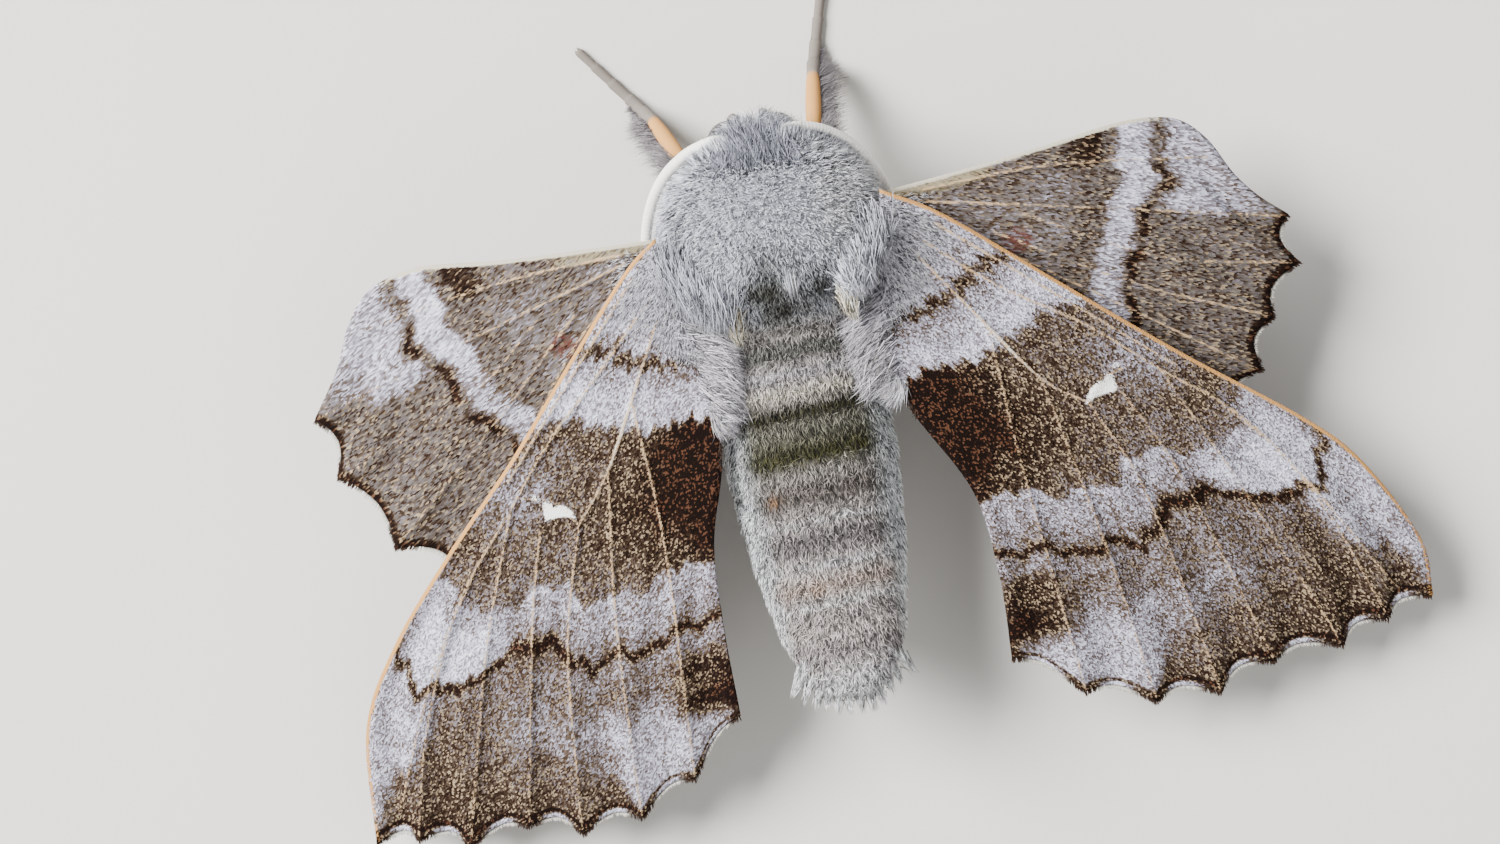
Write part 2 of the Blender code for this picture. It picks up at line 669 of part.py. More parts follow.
def make_wing(name):
    """A thin closed wing: membrane of even thickness with its veins raised in the upper face."""
    wing = WINGS[name]
    height = height_of(wing["plane"])
    outline = wing_outline(wing, height)
    points = [tuple(p) for p in outline]
    edges = [(i, (i + 1) % len(points)) for i in range(len(points))]
    crests = []
    for line in wing["veins"].values():
        crest, left, right = vein_lines(line)
        crests.append(crest)
        for run in (crest, left, right):
            start = len(points)
            points += [tuple(p) for p in run]
            edges += [(start + i, start + i + 1) for i in range(len(run) - 1)]
    border = [list(range(len(outline)))]
    flat, _, triangles, *_ = geometry.delaunay_2d_cdt([Vector(p) for p in points], edges, border, 1, 1e-4)
    count = len(flat)
    top, under = [], []
    for point in flat:
        x, y = point
        middle = height(x, y)
        near = min(distance(np.array([x, y]), crest) for crest in crests)
        ridge = VEIN_HEIGHT * max(0.0, 1 - near / VEIN_HALF_WIDTH)
        top.append((x * wing["side"], y, middle + MEMBRANE / 2 + ridge))
        under.append((x * wing["side"], y, middle - MEMBRANE / 2))
    faces = [tuple(t) for t in triangles] + [tuple(count + i for i in reversed(t)) for t in triangles]
    sides = {}
    for triangle in triangles:
        for a, b in zip(triangle, (*triangle[1:], triangle[0])):
            sides[(a, b)] = True
    for a, b in sides:
        if (b, a) not in sides:
            faces += [(b, a, count + a), (b, count + a, count + b)]
    finish = "wing_grey" if name.startswith("fore") else "wing_brown"
    return solid(name, top + under, faces, finish)


def centre_on_floor():
    """Moves the whole model so that the middle of its box's underside is the origin."""
    items = [o for o in bpy.data.objects if o.type == "MESH"]
    corners = np.array([v.co[:] for o in items for v in o.data.vertices])
    low, high = corners.min(0), corners.max(0)
    shift = Vector((-(low[0] + high[0]) / 2, -(low[1] + high[1]) / 2, -low[2]))
    for item in items:
        for vertex in item.data.vertices:
            vertex.co += shift


def main():
    clear_scene()
    random = np.random.default_rng(SEED)
    add_back_locks(body_part("thorax", THORAX, RINGS["thorax"], "fur_grey"), random)
    add_crest(make_head(), random)
    add_tail(make_abdomen(), random)
    for word, side in (("left", -1), ("right", 1)):
        make_eye(f"eye_{word}", side)
        make_antenna(f"antenna_{word}", side)
        tube(f"palp_{word}", mirrored(PALP, side), PALP_RADII, BAR_SIDES["palp"], "fur_grey")
    for name in LEGS:
        make_leg(name, random)
    for name in WINGS:
        make_wing(name)
    centre_on_floor()


main()
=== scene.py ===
# %% [markdown]
# A poplar hawk moth at rest, seen from straight above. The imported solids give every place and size;
# this lesson dresses them with one furred skin, four scaled wings, feelers, eyes and legs. Each shape
# is a formula worked out on whole numpy arrays, so a reader can change a number and see what it does.

# %% Load the frame
import math

import bpy
import numpy as np
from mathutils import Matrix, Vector


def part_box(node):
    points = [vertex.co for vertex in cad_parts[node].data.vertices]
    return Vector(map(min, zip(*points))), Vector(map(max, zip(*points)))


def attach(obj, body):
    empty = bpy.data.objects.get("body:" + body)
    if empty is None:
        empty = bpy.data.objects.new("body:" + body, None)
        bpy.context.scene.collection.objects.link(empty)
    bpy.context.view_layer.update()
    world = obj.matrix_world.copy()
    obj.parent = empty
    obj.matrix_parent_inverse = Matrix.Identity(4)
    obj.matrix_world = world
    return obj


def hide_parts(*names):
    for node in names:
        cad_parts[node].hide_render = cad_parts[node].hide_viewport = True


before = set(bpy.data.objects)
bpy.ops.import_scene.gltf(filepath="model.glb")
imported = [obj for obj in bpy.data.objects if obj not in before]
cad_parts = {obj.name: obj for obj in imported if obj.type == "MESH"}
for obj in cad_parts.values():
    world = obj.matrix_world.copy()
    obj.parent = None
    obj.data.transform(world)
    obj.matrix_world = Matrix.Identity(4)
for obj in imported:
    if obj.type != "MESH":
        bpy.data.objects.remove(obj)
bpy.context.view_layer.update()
MM = 0.001
SIDES = (("left", -1), ("right", 1))

# %% [markdown]
# All shapes below are written in millimetres about the moth's own axis: x outwards, y forwards, z up.
# The thorax is symmetrical about that axis, so the middle of its box gives x. An eye is a sphere whose
# centre lies 15.6 mm ahead of the body's own zero, so the middle of its box gives y. A Catmull-Rom
# curve passes smoothly through a few chosen points.

# %% Places and curves
EYE_CENTRE_Y = 15.6
CURVE_STEPS = 600
thorax_middle = (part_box("thorax")[0][0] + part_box("thorax")[1][0]) / 2 / MM
eye_middle = (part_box("eye_left")[0][1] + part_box("eye_left")[1][1]) / 2 / MM
AXIS = np.array([thorax_middle, eye_middle - EYE_CENTRE_Y, 0.0])


def curve(points, count):
    """A Catmull-Rom curve through the points: each span blends its four nearest points by cubic weights."""
    knots = np.array(points, float)
    padded = np.vstack([2 * knots[0] - knots[1], knots, 2 * knots[-1] - knots[-2]])
    place = np.linspace(0, len(knots) - 1, count)
    left = np.minimum(place.astype(int), len(knots) - 2)
    t = (place - left)[:, None]
    a, b, c, d = (padded[left + shift] for shift in range(4))
    return 0.5 * (2 * b + (c - a) * t + (2 * a - 5 * b + 4 * c - d) * t**2 + (3 * b - a - 3 * c + d) * t**3)


def even(points, count):
    """The same curve with its points evenly spaced along its length."""
    dense = curve(points, CURVE_STEPS)
    run = np.r_[0, np.cumsum(np.linalg.norm(np.diff(dense, axis=0), axis=1))]
    stops = np.linspace(0, run[-1], count)
    return np.column_stack([np.interp(stops, run, column) for column in dense.T])


def unit(vectors):
    """Vectors made one long."""
    return vectors / np.maximum(np.linalg.norm(vectors, axis=-1, keepdims=True), 1e-9)


print("body axis at", AXIS.round(3), "mm")

# %% [markdown]
# Markings and coat are soft masks from 0 to 1. Four small formulas make all of them: a smooth step, a
# bell, a blend of two values by a mask, and straight interpolation between a line's stations.

# %% Masks
def ramp(value, low, high):
    """0 below low, 1 above high, and a smooth step between."""
    t = np.clip((value - low) / (high - low), 0, 1)
    return t * t * (3 - 2 * t)


def bump(value, centre, width):
    """1 at the centre, falling to 0 as a bell of that half width."""
    return np.exp(-(((value - centre) / width) ** 2))


def mix(low, high, share):
    """The first value where the share is 0, the second where it is 1."""
    return low * (1 - share) + high * share


def at(line, k):
    """Where a line is at each k, by straight interpolation between its stations."""
    stations = np.array(line)
    return np.interp(k, stations[:, 0], stations[:, 1])


print("half way up a ramp:", ramp(0.5, 0, 1), "and at a bell's half width:", round(float(bump(1, 0, 1)), 2))

# %% [markdown]
# A mesh is made from arrays in one go: `foreach_set` copies them without a Python loop. Values kept on
# the points, such as a colour, are attributes, and a shader reads them by name.

# %% Meshes from arrays
def make_mesh(name, points, faces, finish, uv=None, **attributes):
    """A smooth mesh object from points in millimetres and faces of equal length; uv has a row a point."""
    points = (np.asarray(points, float) + AXIS) * MM
    faces = np.asarray(faces, np.int32)
    mesh = bpy.data.meshes.new(name)
    mesh.vertices.add(len(points))
    mesh.vertices.foreach_set("co", points.ravel())
    mesh.loops.add(faces.size)
    mesh.loops.foreach_set("vertex_index", faces.ravel())
    mesh.polygons.add(len(faces))
    mesh.polygons.foreach_set("loop_start", np.arange(0, faces.size, faces.shape[1], dtype=np.int32))
    mesh.update(calc_edges=True)
    mesh.validate()
    mesh.polygons.foreach_set("use_smooth", np.ones(len(mesh.polygons), bool))
    for key, values in attributes.items():
        values = np.asarray(values, float)
        kind, field = ("FLOAT_COLOR", "color") if values.ndim == 2 else ("FLOAT", "value")
        mesh.attributes.new(key, kind, "POINT").data.foreach_set(field, values.ravel())
    if uv is not None:
        layer = mesh.uv_layers.new(name="OFBake")
        layer.data.foreach_set("uv", np.asarray(uv, float)[faces.ravel()].ravel())
    mesh.materials.append(finish)
    made = bpy.data.objects.new(name, mesh)
    bpy.context.scene.collection.objects.link(made)
    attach(made, "root")
    print(name, len(points), "points,", len(faces), "faces")
    return made


def grid_faces(rows, columns, closed=False):
    """Four-sided faces over a grid of points, joined round its columns where it is closed."""
    span = columns if closed else columns - 1
    row, column = np.meshgrid(np.arange(rows - 1), np.arange(span), indexing="ij")
    a = row * columns + column
    b = row * columns + (column + 1) % columns
    return np.stack([a, b, b + columns, a + columns], -1).reshape(-1, 4)


print("a grid of 3 by 3 points has", len(grid_faces(3, 3)), "faces")

# %% [markdown]
# Every finish is a Principled shader with a few nodes before it. Colours are written as sRGB hex, as a
# paint chart gives them, and turned into the linear values that shaders count in.

# %% Colours and materials
def linear(code):
    """An sRGB hex colour as linear red, green, blue and a solid alpha."""
    value = np.array([int(code[i : i + 2], 16) for i in (1, 3, 5)]) / 255
    value = np.where(value <= 0.04045, value / 12.92, ((value + 0.055) / 1.055) ** 2.4)
    return np.append(value, 1.0)


def rgb(code):
    """The same without its alpha, for sums on arrays."""
    return linear(code)[:3]


def node(tree, kind, links=(), **settings):
    """Adds a shader node, sets its fields, then sets or links its sockets by name or number."""
    made = tree.nodes.new("ShaderNode" + kind)
    for key, value in settings.items():
        setattr(made, key, value)
    for key, value in dict(links).items():
        if isinstance(value, bpy.types.NodeSocket):
            tree.links.new(value, made.inputs[key])
        else:
            made.inputs[key].default_value = value
    return made


def new_material(name, roughness, **fixed):
    """A Principled material with its node tree and shader; fixed values go on the shader's own sockets."""
    made = bpy.data.materials.new(name)
    made.use_nodes = True
    shader = made.node_tree.nodes["Principled BSDF"]
    shader.inputs["Roughness"].default_value = roughness
    for key, value in fixed.items():
        shader.inputs[key.replace("_", " ")].default_value = value
    return made, made.node_tree, shader


print("middle grey is", linear("#808080").round(3))

# %% [markdown]
# Wing scales are flat overlapping plates of chitin, a tenth of a millimetre wide, and each is one
# colour. They are matt, so a wing looks like powder. Bands have ragged edges, because pale and brown
# scales mix there. So the wing stores how brown each place is, and the shader adds a random amount for
# each scale, a cell of a stretched Voronoi pattern, and looks the sum up in a ramp from chalky lilac to
# black-brown. A few scales are tan, or chestnut where the wing is darkest, and glint like grains.

# %% Tones of the scales
SCALE_WIDE_MM = 0.075
SCALE_LONG_MM = 0.115
SCALE_SPREAD = 0.22
SCALE_RAMP = [(0.0, "#DCDCE8"), (0.20, "#ACABBB"), (0.38, "#777179"), (0.54, "#4F4238"), (0.70, "#33271D"),
              (0.85, "#23140D"), (1.0, "#120906")]
DRIFT = 0.30
DRIFT_PER_MM = 0.9
GRAIN_TAN = "#AF9A7C"
GRAIN_CHESTNUT = "#603E2C"


def scale_tone(tree, place, dice):
    """The stored share of brown, drifting a little, plus each scale's own amount, looked up in the ramp."""
    share = node(tree, "Attribute", attribute_name="brown").outputs["Fac"]
    drift = node(tree, "TexNoise", {"Vector": place, "Scale": DRIFT_PER_MM, "Detail": 4.0},
                 noise_dimensions="2D").outputs[0]
    wander = node(tree, "Math", {0: drift, 1: DRIFT, 2: -DRIFT / 2}, operation="MULTIPLY_ADD").outputs[0]
    smooth = node(tree, "Math", {0: share, 1: wander}, operation="ADD").outputs[0]
    spread = node(tree, "MapRange", {0: dice.outputs[0], 3: -SCALE_SPREAD, 4: SCALE_SPREAD}).outputs[0]
    amount = node(tree, "Math", {0: smooth, 1: spread}, operation="ADD").outputs[0]
    lookup = node(tree, "ValToRGB", {0: amount})
    stops = lookup.color_ramp.elements
    for index, (position, code) in enumerate(SCALE_RAMP):
        stop = stops[index] if index < 2 else stops.new(position)
        stop.position = position
        stop.color = linear(code)
    return lookup.outputs[0], smooth


def with_grains(tree, base, smooth, dice):
    """One scale in six glints tan over brown ground, turning chestnut where the ground is darkest."""
    glint = node(tree, "MapRange", {0: dice.outputs[1], 1: 0.80, 2: 0.86, 4: 0.66}).outputs[0]
    brown = node(tree, "MapRange", {0: smooth, 1: 0.45, 2: 0.70}).outputs[0]
    darkest = node(tree, "MapRange", {0: smooth, 1: 0.80, 2: 1.05}).outputs[0]
    grain = node(tree, "Mix", {0: darkest, 6: linear(GRAIN_TAN), 7: linear(GRAIN_CHESTNUT)},
                 data_type="RGBA").outputs[2]
    sparkle = node(tree, "Math", {0: glint, 1: brown}, operation="MULTIPLY").outputs[0]
    return node(tree, "Mix", {0: sparkle, 6: base, 7: grain}, data_type="RGBA").outputs[2]


print("a scale is", SCALE_LONG_MM, "mm long and", SCALE_WIDE_MM, "mm wide")

# %% [markdown]
# Spots with a colour of their own are laid on by whole scales too, so their edges are as ragged. Along
# the main veins the scales have rubbed off and the bare rib shows tan. The finish is matt with hardly
# any gloss, and a relief raises each scale in its middle, which gives the eye a dusty, grained surface.

# %% Scaled wing material
RIB_TAN = "#C6A680"
RIB_MM = 0.055
RIB_SOFT_MM = 0.06
SCALE_RELIEF_MM = 0.05


def with_tint(tree, base, dice):
    """The stored tint, laid on by whole scales: more of them where its strength, the alpha, is greater."""
    tint = node(tree, "Attribute", attribute_name="tint")
    scatter = node(tree, "Math", {0: dice.outputs[2], 1: 0.5, 2: tint.outputs["Alpha"]},
                   operation="MULTIPLY_ADD").outputs[0]
    mask = node(tree, "MapRange", {0: scatter, 1: 0.5, 2: 0.8}).outputs[0]
    return node(tree, "Mix", {0: mask, 6: base, 7: tint.outputs["Color"]}, data_type="RGBA").outputs[2]


def with_ribs(tree, base, dice):
    """Bare tan ribs where the stored distance to a vein is small, their edges as ragged as the scales."""
    far = node(tree, "Attribute", attribute_name="vein_mm").outputs["Fac"]
    ragged = node(tree, "Math", {0: dice.outputs[2], 1: 0.10, 2: far}, operation="MULTIPLY_ADD").outputs[0]
    rib = node(tree, "MapRange", {0: ragged, 1: RIB_MM + RIB_SOFT_MM, 2: RIB_MM, 3: 0.0, 4: 0.85}).outputs[0]
    return node(tree, "Mix", {0: rib, 6: base, 7: linear(RIB_TAN)}, data_type="RGBA").outputs[2]


def scale_material(name):
    """Matt wing scales from pale to dark with bare ribs, each scale a little raised in its middle."""
    made, tree, shader = new_material(name, 0.9, Specular_IOR_Level=0.08)
    place = node(tree, "UVMap", uv_map="scales").outputs[0]
    stretch = node(tree, "Mapping", {0: place, 3: (1 / SCALE_LONG_MM, 1 / SCALE_WIDE_MM, 1)}).outputs[0]
    cells = node(tree, "TexVoronoi", {"Vector": stretch, "Scale": 1.0}, voronoi_dimensions="2D")
    dice = node(tree, "SeparateColor", {0: cells.outputs["Color"]})
    base, smooth = scale_tone(tree, place, dice)
    tinted = with_tint(tree, with_grains(tree, base, smooth, dice), dice)
    tree.links.new(with_ribs(tree, tinted, dice), shader.inputs["Base Color"])
    lift = node(tree, "Math", {0: cells.outputs["Distance"], 1: -1.0}, operation="MULTIPLY").outputs[0]
    relief = node(tree, "Bump", {"Height": lift, "Strength": 0.6, "Distance": SCALE_RELIEF_MM * MM})
    tree.links.new(relief.outputs[0], shader.inputs["Normal"])
    return made


WING_SCALES = scale_material("wing_scales")
print("made", WING_SCALES.name, "with", len(WING_SCALES.node_tree.nodes), "nodes")

# %% [markdown]
# Each wing is known by its edge and its veins, in millimetres from the body's axis. A plane gives the
# height: where the wing's own axis starts and ends, its height there, and its fall for each millimetre
# outwards. The outer margin runs through the tips of the veins. Right and left differ, as in the pose.

# %% Forewings
WINGS = {}
WINGS["forewing_right"] = {
    "side": 1, "plane": ((6.2, 11.6), (33.6, -16.9), 11.8, 0.228), "root": [(6.3, 11.3), (5.4, 5.5)],
    "leading": [(9.6, 9.3), (15.3, 4.5), (21.4, -0.6), (27.6, -5.4), (30.6, -8.5), (33.3, -13.5)],
    "tips": [(33.5, -16.9), (30.7, -17.7), (27.8, -18.7), (23.7, -18.8), (20.4, -20.0), (16.7, -19.8),
             (12.8, -18.5), (9.0, -15.8)],
    "trailing": [(9.1, -11.3), (8.5, -6.2), (5.9, -1.1), (4.7, 2.4)],
    "veins": [
        [(9.0, 8.9), (15.0, 3.8), (21.0, -1.3)],
        [(7.6, 8.6), (11.7, 5.0), (16.3, 1.9), (20.0, -1.3)],
        [(20.0, -1.3), (24.4, -5.0), (27.9, -10.5), (30.6, -17.4)],
        [(20.0, -1.3), (23.2, -8.0), (27.7, -18.4)],
        [(17.7, -2.2), (20.3, -7.7), (23.7, -18.6)],
        [(7.4, 7.8), (10.1, 3.9), (13.3, -0.6), (15.7, -2.4)],
        [(15.7, -2.4), (18.1, -8.1), (20.4, -19.8)],
        [(13.3, -0.6), (15.2, -9.9), (16.7, -19.6)],
        [(10.9, 2.6), (11.4, -5.0), (12.8, -18.2)],
        [(19.0, -0.7), (16.8, -1.2), (15.7, -2.4)],
        [(22.4, -3.0), (26.6, -8.0), (31.4, -16.0)],
    ],
}
WINGS["forewing_left"] = {
    "side": -1, "plane": ((6.2, 10.7), (28.5, -19.8), 11.8, 0.25), "root": [(6.3, 10.9), (5.4, 5.5)],
    "leading": [(8.3, 9.4), (12.3, 5.1), (16.6, 0.3), (21.0, -4.1), (25.1, -8.7), (27.7, -13.2)],
    "tips": [(28.5, -19.8), (26.0, -20.0), (23.2, -20.9), (19.7, -20.3), (16.7, -21.3), (13.2, -21.0),
             (9.8, -19.3), (6.6, -16.2)],
    "trailing": [(6.6, -11.5), (6.3, -6.5), (5.0, -2.0), (4.5, 2.2)],
    "veins": [
        [(8.0, 8.9), (12.0, 4.6), (17.0, -0.9)],
        [(7.0, 7.9), (11.1, 3.9), (14.4, 0.8), (17.1, -2.4)],
        [(17.1, -2.4), (21.0, -7.0), (24.2, -13.6), (26.0, -19.8)],
        [(17.1, -2.4), (20.0, -9.9), (23.1, -20.6)],
        [(15.7, -3.9), (17.1, -8.7), (19.6, -20.1)],
        [(6.7, 7.1), (8.4, 4.0), (11.3, -1.2), (13.5, -3.9)],
        [(13.5, -3.9), (15.5, -10.8), (16.7, -21.0)],
        [(11.3, -1.2), (12.5, -9.6), (13.2, -20.8)],
        [(9.3, 2.2), (9.0, -6.0), (9.8, -19.0)],
        [(16.4, -1.9), (14.6, -2.4), (13.5, -3.9)],
        [(19.4, -4.8), (23.2, -10.6), (26.8, -18.2)],
    ],
}
print("forewings:", ", ".join(WINGS))

# %% [markdown]
# The hindwings are shorter, and their front edges bow out ahead of the forewings. Only a wedge of each
# shows, but the whole wing is made, as it would be in a cabinet.

# %% Hindwings
WINGS["hindwing_right"] = {
    "side": 1, "plane": ((6.4, 10.6), (29.5, 3.0), 10.2, 0.22), "root": [(6.4, 11.2), (6.7, 8.2)],
    "leading": [(11.0, 11.6), (15.7, 12.1), (20.4, 12.7), (23.4, 12.4), (25.1, 11.0), (26.3, 8.8),
                (27.5, 7.3)],
    "tips": [(29.0, 6.0), (29.1, 3.2), (27.1, 0.4), (25.9, -2.4), (23.4, -4.6)],
    "trailing": [(17.0, -1.5), (10.4, 4.8), (7.4, 7.4)],
    "veins": [
        [(8.6, 10.9), (16.0, 11.0), (25.0, 9.9)],
        [(8.4, 10.3), (17.3, 8.4), (28.6, 5.9)],
        [(14.0, 8.6), (21.2, 4.9), (28.8, 3.2)],
        [(12.2, 7.9), (19.7, 3.6), (26.9, 0.5)],
        [(8.4, 9.3), (14.0, 5.8), (25.6, -2.3)],
    ],
}
WINGS["hindwing_left"] = {
    "side": -1, "plane": ((6.4, 10.0), (25.0, -1.0), 10.2, 0.24), "root": [(6.4, 10.9), (6.7, 7.9)],
    "leading": [(10.6, 11.1), (15.1, 11.4), (19.6, 11.9), (22.5, 11.3), (24.2, 9.6), (25.4, 7.2)],
    "tips": [(27.2, 4.7), (26.5, 1.2), (24.0, -3.3), (20.6, -5.4), (17.6, -6.6)],
    "trailing": [(13.2, -2.5), (9.4, 3.6), (7.2, 7.1)],
    "veins": [
        [(8.4, 10.4), (15.0, 10.2), (23.8, 9.0)],
        [(8.2, 9.9), (16.4, 7.7), (26.9, 4.7)],
        [(13.6, 7.8), (18.3, 4.2), (26.2, 1.2)],
        [(11.6, 7.6), (17.0, 2.6), (23.8, -3.1)],
        [(8.2, 9.0), (12.4, 5.3), (20.3, -5.2)],
    ],
}
print("all wings:", ", ".join(WINGS))

# %% [markdown]
# A Coons patch fills an outline made of four curves: the root, the leading edge, the scalloped outer
# margin and the trailing edge. So every place on a wing has two numbers: s from root to margin, and k,
# which counts along the margin from one vein's tip to the next.

# %% Fill a wing's outline
SCALLOP_MM = 0.75
SCALLOP_SHARPNESS = 1.7
SPAN_POINTS = 24
ARCH_MM = 0.5
CURL = 0.004


def margin(tips, centre):
    """From each vein tip to the next the edge dips inwards by depth times 1 minus |2t - 1| to a power."""
    tips = np.array(tips, float)
    t = np.linspace(0, 1, SPAN_POINTS, endpoint=False)
    dip = SCALLOP_MM * (1 - np.abs(2 * t - 1) ** SCALLOP_SHARPNESS)
    inward = unit(np.array(centre) - (tips[:-1] + tips[1:]) / 2)
    line = tips[:-1, None] * (1 - t)[:, None] + tips[1:, None] * t[:, None] + inward[:, None] * dip[:, None]
    return np.vstack([line.reshape(-1, 2), tips[-1:]])


def coons(root, leading, outer, trailing):
    """The blend of the two side curves plus the blend of the two end curves, less that of the corners."""
    s = np.linspace(0, 1, len(leading))[:, None, None]
    t = np.linspace(0, 1, len(outer))[None, :, None]
    sides = (1 - t) * leading[:, None] + t * trailing[:, None]
    ends = (1 - s) * root[None] + s * outer[None]
    corners = (1 - s) * ((1 - t) * root[0] + t * root[-1]) + s * ((1 - t) * outer[0] + t * outer[-1])
    return sides + ends - corners


def wing_plan(wing, rows):
    """The wing seen from above as a grid of places, with s and k of each."""
    front, rear = wing["root"]
    outer = margin(wing["tips"], wing["plane"][0])
    leading = even([front, *wing["leading"], wing["tips"][0]], rows)
    trailing = even([rear, *wing["trailing"][::-1], wing["tips"][-1]], rows)
    spans = len(wing["tips"]) - 1
    s, k = np.meshgrid(np.linspace(0, 1, rows), np.linspace(0, spans, len(outer)), indexing="ij")
    return coons(np.linspace(front, rear, len(outer)), leading, outer, trailing), s, k


def wing_own(wing, plan):
    """Each place in the wing's own axes: how far out along the wing, how far back across it, its length."""
    root, tip = np.array(wing["plane"][:2])
    length = np.linalg.norm(tip - root)
    along = (tip - root) / length
    return (plan - root) @ along, (plan - root) @ np.array([along[1], -along[0]]), length


def wing_height(wing, plan):
    """Height over a place: a plane that falls outwards, arched a little along and across the wing."""
    out, back, length = wing_own(wing, plan)
    top, fall = wing["plane"][2:]
    return top - fall * out + ARCH_MM * np.sin(math.pi * np.clip(out / length, 0, 1)) - CURL * back**2


def nearest(plan, line):
    """Distance of every place from a polyline, the least over its straight runs."""
    a, b = line[:-1, None, None], line[1:, None, None]
    run = b - a
    t = np.clip(((plan - a) * run).sum(-1) / (run * run).sum(-1), 0, 1)
    return np.linalg.norm(a + run * t[..., None] - plan, axis=-1).min(0)


print("a forewing's grid is", wing_plan(WINGS["forewing_right"], 180)[0].shape)

# %% [markdown]
# The forewing's bands run across the veins. Each edge of a band is written as its place s at a few
# values of k, the same on both wings, and so is how brown the middle band is where it starts and ends.

# %% Lines of the forewing
ANTEMEDIAN = [(0, 0.200), (0.5, 0.192), (1.5, 0.170), (2.7, 0.172), (3.2, 0.161), (4.2, 0.141), (5.2, 0.116),
              (7, 0.10)]
MIDDLE_START = [(0, 0.340), (0.5, 0.315), (1.3, 0.290), (2.2, 0.285), (3, 0.283), (3.7, 0.277), (4.5, 0.253),
                (5.6, 0.228), (7, 0.245)]
MIDDLE_END = [(0, 0.56), (0.3, 0.59), (1.0, 0.62), (1.45, 0.638), (2.0, 0.618), (2.4, 0.62), (2.7, 0.585),
              (3.3, 0.575), (3.7, 0.597), (4.2, 0.588), (4.6, 0.573), (5.2, 0.578), (5.8, 0.545),
              (6.3, 0.562), (7, 0.61)]
POSTMEDIAN = [(0, 0.704), (0.4, 0.738), (0.8, 0.768), (1.4, 0.774), (2.0, 0.742), (2.5, 0.712), (2.9, 0.69),
              (3.5, 0.682), (3.9, 0.702), (4.3, 0.719), (4.6, 0.69), (5.2, 0.702), (5.6, 0.706),
              (5.95, 0.68), (6.6, 0.729), (7, 0.74)]
TORNAL_EDGE = [(4, 0.82), (4.75, 0.825), (5.5, 0.85), (6.0, 0.875), (6.4, 0.91), (6.8, 0.96), (7, 0.97)]
BROWN_AT_START = [(0, 0.64), (1, 0.67), (2, 0.67), (2.75, 0.68), (3.5, 0.76), (4.25, 0.90), (5, 1.08),
                  (6, 1.22), (7, 1.32)]
BROWN_AT_END = [(0, 0.62), (1, 0.55), (2, 0.58), (3, 0.60), (3.5, 0.60), (4.25, 0.61), (5, 0.65),
                (5.75, 0.78), (6.25, 0.88), (7, 1.0)]
SPOT_K = 2.27
SPOT_S = 0.442


def ripple(s, k):
    """A fixed gentle unevenness from a few sines, about 1 per cent of the wing's length."""
    waves = 0.006 * np.sin(9.1 * k + 3 * s) + 0.004 * np.sin(17.3 * k - 11 * s + 1.3)
    return waves + 0.003 * np.sin(31 * k + 40 * s)


print("at k = 2 the middle band runs from", at(MIDDLE_START, 2).round(3), "to", at(MIDDLE_END, 2).round(3))

# %% [markdown]
# A marking is a share of brown scales, from 0 for pale to 1 for dark. The base is pale with one broken
# dark line. The middle band is brown, darkest towards the body, with a lilac cloud near the front edge.

# %% Inner forewing
ROOT_SHARE = 0.34
INNER_FALL = 0.10
ANTEMEDIAN_WIDTH = 0.011
BAND_SOFT = 0.010


def inner_area(u, k):
    """Pale, a little paler away from the root, with the antemedian line and its faint shadow."""
    line = at(ANTEMEDIAN, k)
    broken = 0.65 + 0.35 * np.sin(2.4 * k - 0.4) ** 2
    share = ROOT_SHARE - INNER_FALL * ramp(u, 0.12, 0.26)
    return share + 0.62 * bump(u, line, ANTEMEDIAN_WIDTH) * broken + 0.10 * bump(u, line + 0.03, 0.018)


def middle_band(u, k, start, end):
    """Its cover, 1 from start to end, and its brown, which fades across it from one table to the other."""
    depth = np.clip((u - start) / np.maximum(end - start, 0.01), 0, 1)
    fading = ramp(depth, 0.40 + 0.1 * ramp(k, 5.2, 6.5), 1.0)
    brown = mix(at(BROWN_AT_START, k), at(BROWN_AT_END, k), fading)
    brown -= 0.22 * bump(depth, 0.42, 0.2) * (1 - ramp(k, 1.3, 2.3))
    brown += 0.12 * bump(depth, 0.78, 0.1) * (1 - ramp(k, 1.2, 2.0))
    cover = ramp(u, start - BAND_SOFT, start + 0.012) * (1 - ramp(u, end - BAND_SOFT, end + BAND_SOFT))
    return cover, brown


print("brown at the body's side of the middle band:", at(BROWN_AT_START, 7))

# %% [markdown]
# Beyond the middle band comes a pale band, then the dark postmedian line, which bulges outwards between
# the veins, and a brown terminal area. The wing's tip and its rear corner stay pale, and a brown patch
# sits on the inner edge.

# %% Outer forewing
OUTER_SHARE = 0.38
BLOTCH_SHARE = 0.20
TERMINAL_SHARE = 0.56
CORNER_SHARE = 0.31
LUNULE = 0.020


def pale_blotch(u, k, end, post):
    """1 on the almost white blotch before the line, near the front edge."""
    along = ramp(u, end + 0.01, end + 0.05) * (1 - ramp(u, post - 0.015, post))
    return along * ramp(k, 0.1, 0.6) * (1 - ramp(k, 1.9, 2.6))


def terminal_area(u, k):
    """Brown, darker towards the margin, with a darker cloud in front and a paler one behind."""
    share = TERMINAL_SHARE + 0.10 * ramp(u, 0.84, 0.94) + 0.10 * ramp(u, 0.94, 0.99)
    share += 0.12 * ramp(u, 0.77, 0.83) * bump(k, 1.8, 0.6)
    return share - 0.12 * bump(u, 0.845, 0.035) * ramp(k, 2.5, 3.3)


